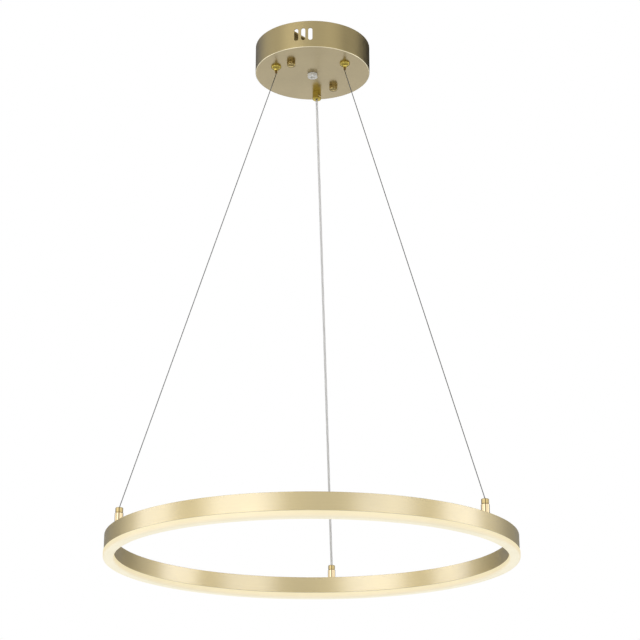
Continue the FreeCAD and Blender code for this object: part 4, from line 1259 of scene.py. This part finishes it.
# Earth screw through the tab: a six-sided head with a slot
earthScrew = {
    "flats": 7.0,
    "head": 2.4,
    "chamfer": 0.18,
    "slot": (1.0, 0.9),  # width, depth
    "shank": 2.0,
    "tip": 1.5,
    "neck": (1.8, 0.6),  # inside the head
    "leads": (0.4, 0.2),
    "pitch": 0.8,
    "depth": 0.2,
    "reach": 5.0,
    "sides": 24,
}
head, reach, (slot, sink) = earthScrew["head"], earthScrew["reach"], earthScrew["slot"]
screw = hexNut("earthScrew", earthScrew["flats"], 0, head, 0, earthScrew["chamfer"])
low, high = -reach + earthScrew["leads"][0], -earthScrew["leads"][1]
thread = threadOutline(earthScrew["shank"], low, high, earthScrew["pitch"], earthScrew["depth"])
outline = [(earthScrew["tip"], -reach)] + thread + [earthScrew["neck"]]
combine(screw, "UNION", [turnOnLathe("shank", outline, earthScrew["sides"])])
combine(screw, "DIFFERENCE", [brick((-slot / 2, -5, head - sink), (slot / 2, 5, 5))])
settle(screw, turn=(0, 90, 0))
earthAngle = canopy["barAngle"] - 90
settle(screw, (*onCircle(crossbar["width"] / 2, earthAngle), earthHeight), (0, 0, earthAngle))
dress(screw, "zinc", "ceiling_unit", "earth_screw", 25)
print("crossbar and fasteners ready")

# Driver: a moulded tray and lid on a foam pad, wire ways in its ends
driver = {
    "length": 72.0,
    "width": 36.0,
    "angle": 150,
    "offset": 41.0,
    "padInset": 1.6,
    "padCorner": 2.0,
    "padSoft": 0.2,
    "floor": -36.0,
    "split": -22.0,
    "traySoft": 0.35,
    "lidFoot": -21.9,
    "top": -14.0,
    "round": 2.5,
    "soft": 0.6,
    "panelBorder": 4.0,
    "panelSink": 0.5,
    "ribs": [9.0, 11.6, 14.2, 16.8, 19.4],  # from the end
    "ribInset": 7.0,
    "ribSize": 1.2,
    "ribRound": 0.55,
    "wayWidth": 2.9,
    "wayDepth": 1.4,
    "ways": {"live": (-1, -7.0, -17.0), "neutral": (-1, -3.0, -19.0), "output": (1, 1.0, -17.0)},
}
driverTurn = driver["angle"] - 90
driverPlace = (*onCircle(driver["offset"], driver["angle"]), 0)
half, side, inset = driver["length"] / 2, driver["width"] / 2, driver["padInset"]
low, high = (-half + inset, -side + inset, plateTop), (half - inset, side - inset, driver["floor"])
pad = brick(low, high, "driverPad")
roundAlong(pad, "z", driver["padCorner"])
softenEdges(pad, driver["padSoft"], 2, 50)
settle(pad, driverPlace, (0, 0, driverTurn))
dress(pad, "foam", "ceiling_unit", "driver_pad")

tray = brick((-half, -side, driver["floor"]), (half, side, driver["split"]), "driverTray")
roundAlong(tray, "z", driver["round"])
softenEdges(tray, driver["traySoft"], 3, 50)
tools = []
for end, aside, height in driver["ways"].values():
    way = roundBar(driver["wayWidth"], half - driver["wayDepth"], half + 2, 24)
    settle(way, turn=(0, 90, 0))
    tools.append(settle(way, (0, aside, height), (0, 0, 180 if end < 0 else 0)))
lid = brick((-half, -side, driver["lidFoot"]), (half, side, driver["top"]), "driverLid")
roundAlong(lid, "z", driver["round"])
softenEdges(lid, driver["soft"], 4, 50)
sinkTop(lid, driver["panelBorder"], driver["panelSink"])
reach, wide, top = side - driver["ribInset"], driver["ribSize"], driver["top"]
for place in driver["ribs"]:
    across = half - place
    groove = brick((across, -reach, top - wide), (across + wide, reach, top + 1))
    tools.append(roundAlong(groove, "z", driver["ribRound"], 4))
combine(lid, "DIFFERENCE", tools)
for piece, node in ((tray, "driver_tray"), (lid, "driver_lid")):
    settle(piece, driverPlace, (0, 0, driverTurn))
    dress(piece, "driver", "ceiling_unit", node)

# Terminal block: three poles with a groove between, wire ways below and screws above
block = {
    "length": 30.0,
    "width": 15.0,
    "height": 13.0,
    "corner": 1.0,
    "soft": 0.25,
    "pitch": 9.4,
    "angle": -60,
    "offset": 53.0,
    "entry": 3.4,
    "entryHeight": 5.2,
    "well": 3.6,
    "wellDepth": 4.05,
    "groove": (1.0, 3.0),  # width, depth
    "step": (3.2, 4.5),
    "screw": [(1.2, 0.0), (1.5, 0.3), (1.5, 3.6), (1.15, 3.95), (0.3, 4.0)],
    "kerf": (0.56, 0.9),
}
half, side, top = block["length"] / 2, block["width"] / 2, plateTop + block["height"]
housing = brick((-half, -side, plateTop), (half, side, top), "terminalHousing")
roundAlong(housing, "z", block["corner"], 4)
tools = []
middle, reach = plateTop + block["entryHeight"], block["entry"] / 2
low, high, out = middle - reach, middle + reach, side + 1
for pole in (-1, 0, 1):
    across = block["pitch"] * pole
    tools.append(brick((across - reach, -out, low), (across + reach, out, high)))
    well = roundBar(block["well"], top - block["wellDepth"], top + 1, 32)
    tools.append(settle(well, (across, 0, 0)))
wide, deep = block["groove"]
for gap in (-0.5, 0.5):
    across = block["pitch"] * gap
    low, high = (across - wide / 2, -out, top - deep), (across + wide / 2, out, top + 1)
    tools.append(brick(low, high))
wide, deep = block["step"]
for turn in (0, 180):
    step = brick((-half - 1, side - wide, top - deep), (half + 1, out, top + 1))
    tools.append(settle(step, turn=(0, 0, turn)))
combine(housing, "DIFFERENCE", tools)
softenEdges(housing, block["soft"], 2, 50)
blockTurn = block["angle"] + 90
blockPlace = onCircle(block["offset"], block["angle"])
settle(housing, (*blockPlace, 0), (0, 0, blockTurn))
dress(housing, "nylon", "ceiling_unit", "terminal_block")

clampPattern = turnOnLathe("clampPattern", block["screw"], 32)
height, (wide, deep) = block["screw"][-1][1], block["kerf"]
kerf = brick((-wide / 2, -3, height - deep), (wide / 2, 3, height + 1))
combine(clampPattern, "DIFFERENCE", [kerf])
for number, pole in enumerate((-1, 0, 1)):
    aside = onCircle(block["pitch"] * pole, blockTurn)
    spot = (blockPlace[0] + aside[0], blockPlace[1] + aside[1], top - height)
    clamp = copyTo(clampPattern, f"clampScrew{number + 1}", spot, (0, 0, 20 + 50 * number))
    dress(clamp, "capNut", "ceiling_unit", "terminal_screws")
discard(clampPattern)

# Splice above the cord grip, where the cable's cores meet the driver's lead
splice = {
    "across": 6.0,
    "near": 47.0,
    "far": 61.0,
    "low": -20.0,
    "high": -10.0,
    "corner": 1.5,
    "soft": 0.5,
    "recess": (1.6, 0.5),  # border, depth
    "mouth": (3.6, 0.4),
}
across, near, far = splice["across"], splice["near"], splice["far"]
low, (wide, deep) = splice["low"], splice["mouth"]
spliceBox = brick((-across, near, low), (across, far, splice["high"]), "spliceBox")
roundAlong(spliceBox, "z", splice["corner"], 5)
softenEdges(spliceBox, splice["soft"], 3, 50)
sinkTop(spliceBox, *splice["recess"])
mouth = settle(roundBar(wide, low - 1, low + deep, 32), (*rearGrip, 0))
combine(spliceBox, "DIFFERENCE", [mouth])
dress(spliceBox, "nylon", "ceiling_unit", "lead_connector")
print("driver and connections ready")

# Cords: each is a tube along its own line, with a map of one turn across and metres along


splineSteps = 1024
thinning = {"least": 0.2, "turn": 0.05}  # in spacings, in radians


def smoothLine(controls, spacing):
    # Points in mm steer one smooth spline; the line read back from it is thinned to the spacing
    route = bpy.data.curves.new("route", "CURVE")
    route.dimensions = "3D"
    spline = route.splines.new("NURBS")
    spline.points.add(len(controls) - 1)
    for control, place in zip(spline.points, controls):
        control.co = (*(Vector(place) * mm), 1)
    spline.order_u = 3
    spline.use_endpoint_u = True
    spline.resolution_u = splineSteps
    guide = bpy.data.objects.new("route", route)
    drawn = bpy.data.meshes.new_from_object(guide)
    places = [vertex.co.copy() for vertex in drawn.vertices]
    bpy.data.objects.remove(guide)
    bpy.data.curves.remove(route)
    bpy.data.meshes.remove(drawn)
    line, least = places[:1], spacing * thinning["least"] * mm
    for place in places[1:-1]:
        step = place - line[-1]
        if step.length < least:
            continue
        turned = len(line) > 1 and (line[-1] - line[-2]).angle(step) > thinning["turn"]
        if turned or step.length > spacing * mm:
            line.append(place)
    while len(line) > 1 and (places[-1] - line[-1]).length < least:
        line.pop()
    return line + places[-1:]


def besideCorner(corner, towards, distance):
    # Where a long straight run leaves a corner beside a short one
    corner, towards = Vector(corner), Vector(towards)
    return tuple(corner + (towards - corner).normalized() * distance)


def lengthOf(line):
    return sum((end - start).length for start, end in zip(line, line[1:]))


def layTube(name, line, diameter, sides, lobes=0, lay=0.0, dent=0.0):
    # Rings of points along the line; lobes and lay twist a stranded outline round it
    radius = diameter / 2 * mm
    points, faces, uvs, wraps = [], [], [], []
    along, side = 0.0, None
    for number, point in enumerate(line):
        ahead = line[min(number + 1, len(line) - 1)] - line[max(number - 1, 0)]
        ahead.normalize()
        if side is None:
            side = ahead.orthogonal().normalized()
        else:
            side = (side - ahead * side.dot(ahead)).normalized()
            along += (point - line[number - 1]).length
        other = ahead.cross(side)
        twist = math.tau * along / lay if lay else 0.0
        for step in range(sides):
            angle = math.tau * step / sides
            reach = radius * (1 - dent * (0.5 - 0.5 * math.cos(lobes * angle)))
            angle += twist
            points.append(point + (side * math.cos(angle) + other * math.sin(angle)) * reach)
        wraps.append(along)
    for ring in range(len(line) - 1):
        for step in range(sides):
            after = (step + 1) % sides
            low, high = ring * sides, (ring + 1) * sides
            faces.append((low + step, low + after, high + after, high + step))
            left, right = step / sides, (step + 1) / sides
            uvs += [(left, wraps[ring]), (right, wraps[ring])]
            uvs += [(right, wraps[ring + 1]), (left, wraps[ring + 1])]
    faces.append(tuple(reversed(range(sides))))
    faces.append(tuple(range((len(line) - 1) * sides, len(line) * sides)))
    uvs += [(0.5, 0.0)] * (2 * sides)
    mesh = bpy.data.meshes.new(name)
    mesh.from_pydata(points, [], faces)
    wrap = mesh.uv_layers.new(name="Wrap")
    for loop, uv in enumerate(uvs):
        wrap.data[loop].uv = uv
    for face in mesh.polygons:
        face.use_smooth = len(face.vertices) == 4
    tube = bpy.data.objects.new(name, mesh)
    bpy.context.scene.collection.objects.link(tube)
    return tube


def runTube(name, line, shape, material, body, slotName, node, lay=None):
    # A tube along the line, and what it rides on and stands for
    tube = layTube(name, line, **shape)
    tube.data.materials.append(materials[material])
    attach(tube, body)
    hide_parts(node)
    print(name, round(lengthOf(line), 4))
    return tube


hanging = {
    "wire": {"diameter": 1.2, "sides": 12, "lobes": 6, "lay": 0.012, "dent": 0.22},
    "wireMouth": -48.0,
    "wireCorner": -49.5,
    "wireFoot": -650.98,
    "wireSpacing": 1.0,
    "cable": {"diameter": 3.0, "sides": 24},
    "cableMouth": -50.0,
    "cableCorners": (-52.6, -648.6),
    "cableFoot": -651.2,
    "cableSpacing": 2.0,
    "raised": 400.0,
}


def squashWith(cord):
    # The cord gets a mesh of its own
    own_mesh(cord)


mouth, corner, foot = hanging["wireMouth"], hanging["wireCorner"], hanging["wireFoot"]
for side in ("Left", "Right"):
    spot = gripSpots[side]
    bend, end = (*spot, corner), (*postSpots[side], foot)
    controls = [(*spot, mouth), bend, besideCorner(bend, end, mouth - corner), end]
    line = smoothLine(controls, hanging["wireSpacing"])
    fitting = ("wire", "ceiling_unit", "wire_steel", "steel_wire_" + side.lower())
    wire = runTube("steelWire" + side, line, hanging["wire"], *fitting, lay="taut")
    squashWith(wire)

mouth, foot, corners = hanging["cableMouth"], hanging["cableFoot"], hanging["cableCorners"]
high, low, short = (*rearGrip, corners[0]), (*postSpots["Rear"], corners[1]), mouth - corners[0]
controls = [(*rearGrip, mouth), high, besideCorner(high, low, short)]
controls += [besideCorner(low, high, short), low, (*postSpots["Rear"], foot)]
line = smoothLine(controls, hanging["cableSpacing"])
fitting = ("cable", "ceiling_unit", "cable_jacket", "power_cable")
powerCable = runTube("powerCable", line, hanging["cable"], *fitting, lay="taut")
squashWith(powerCable)
print("hanging cords ready")

# Leads inside the canopy: each starts in its way into the driver, or in the terminal block.
# The one from the driver to the splice is too short to be a cord.
leads = {
    "shape": {"diameter": 2.0, "sides": 16},
    "spacing": 0.8,
    "inside": 1.1,
    "gap": 0.06,
    "straight": {"live": 9.2, "neutral": 10.2, "output": 8.4},
    "fittings": {
        "live": ("brown", "ceiling_unit", "lead_brown", "input_lead_live", "loose"),
        "neutral": ("blue", "ceiling_unit", "lead_blue", "input_lead_neutral", "loose"),
        "earth": ("green", "ceiling_unit", "lead_earth", "earth_lead", "loose"),
        "output": ("white", "ceiling_unit", "lead_white", "output_lead"),
    },
    "routes": {
        "live": [
            (-46.5, -34.5, -13), (-29, -43.5, -15), (-5, -37.5, -25),
            (9.5, -35.3, -31.8), (15.1, -45, -31.8),
        ],
        "neutral": [
            (-50, -37.5, -15), (-28, -48, -12), (-1, -35, -19),
            (16.3, -28.2, -31.8), (23.3, -40.3, -31.8),
        ],
        "earth": [
            (31.4, -35.6, -31.8), (25.4, -25.2, -31.8), (20, -17.5, -23), (15.5, -10.1, -12),
        ],
        "output": [(-6.05, 59.5, -16)],
    },
}
heading = Vector((*onCircle(1, driverTurn), 0))
beside = Vector((-heading.y, heading.x, 0))
for name, corners in leads["routes"].items():
    if name in driver["ways"]:
        end, aside, height = driver["ways"][name]
        face = Vector(driverPlace) + beside * aside + Vector((0, 0, height))
        outward, reach = heading * end, driver["length"] / 2
        near = face + outward * (reach - leads["inside"])
        turning = face + outward * (reach + leads["gap"] + leads["straight"][name])
        corners = [tuple(near), tuple(turning)] + corners
    line = smoothLine(corners, leads["spacing"])
    runTube("lead" + name.title(), line, leads["shape"], *leads["fittings"][name])

# Upright ends of the wires and the cable, inside their grips and posts, and the crimps on them
held = {
    "wireTop": -17.0,
    "stubTop": -651.2,
    "crimpFlats": 2.4,
    "crimpTop": -13.0,
    "stopFoot": -657.0,
    "stopTop": -653.0,
    "cableTop": -20.0,
    "cableIn": -651.2,
    "cableOut": -671.3,
    "spacing": 1.0,
}


def uprightTube(name, spot, high, low, shape, *fitting):
    controls = [(*spot, high), (*spot, (high + low) / 2), (*spot, low)]
    runTube(name, smoothLine(controls, held["spacing"]), shape, *fitting)


for side in ("Left", "Right"):
    grip, foot, node = gripSpots[side], postSpots[side], side.lower()
    tail, stub = (held["wireTop"], hanging["wireMouth"]), (held["stubTop"], held["stopTop"])
    fitting = ("wire", "ceiling_unit", "wire_steel", "wire_tail_" + node)
    uprightTube("wireTail" + side, grip, *tail, hanging["wire"], *fitting)
    fitting = ("wire", "ring", "wire_steel", "wire_stop_" + node)
    uprightTube("wireStub" + side, foot, *stub, hanging["wire"], *fitting)
    crimp = hexNut("wireCrimp" + side, held["crimpFlats"], held["wireTop"], held["crimpTop"], 0)
    settle(crimp, (*grip, 0))
    dress(crimp, "crimp", "ceiling_unit", "wire_crimp_" + node, 25)
    stop = hexNut("wireStop" + side, held["crimpFlats"], held["stopFoot"], held["stopTop"], 0)
    settle(stop, (*foot, 0))
    dress(stop, "crimp", "ring", "wire_stop_" + node, 25)
ends = (held["cableTop"], hanging["cableMouth"])
fitting = ("cable", "ceiling_unit", "cable_jacket", "power_cable_grip_end")
uprightTube("cableGripEnd", rearGrip, *ends, hanging["cable"], *fitting)
ends = (held["cableIn"], held["cableOut"])
fitting = ("cable", "ring", "cable_jacket", "power_cable_ring_end")
uprightTube("cableRingEnd", postSpots["Rear"], *ends, hanging["cable"], *fitting)
print("leads and held ends ready")
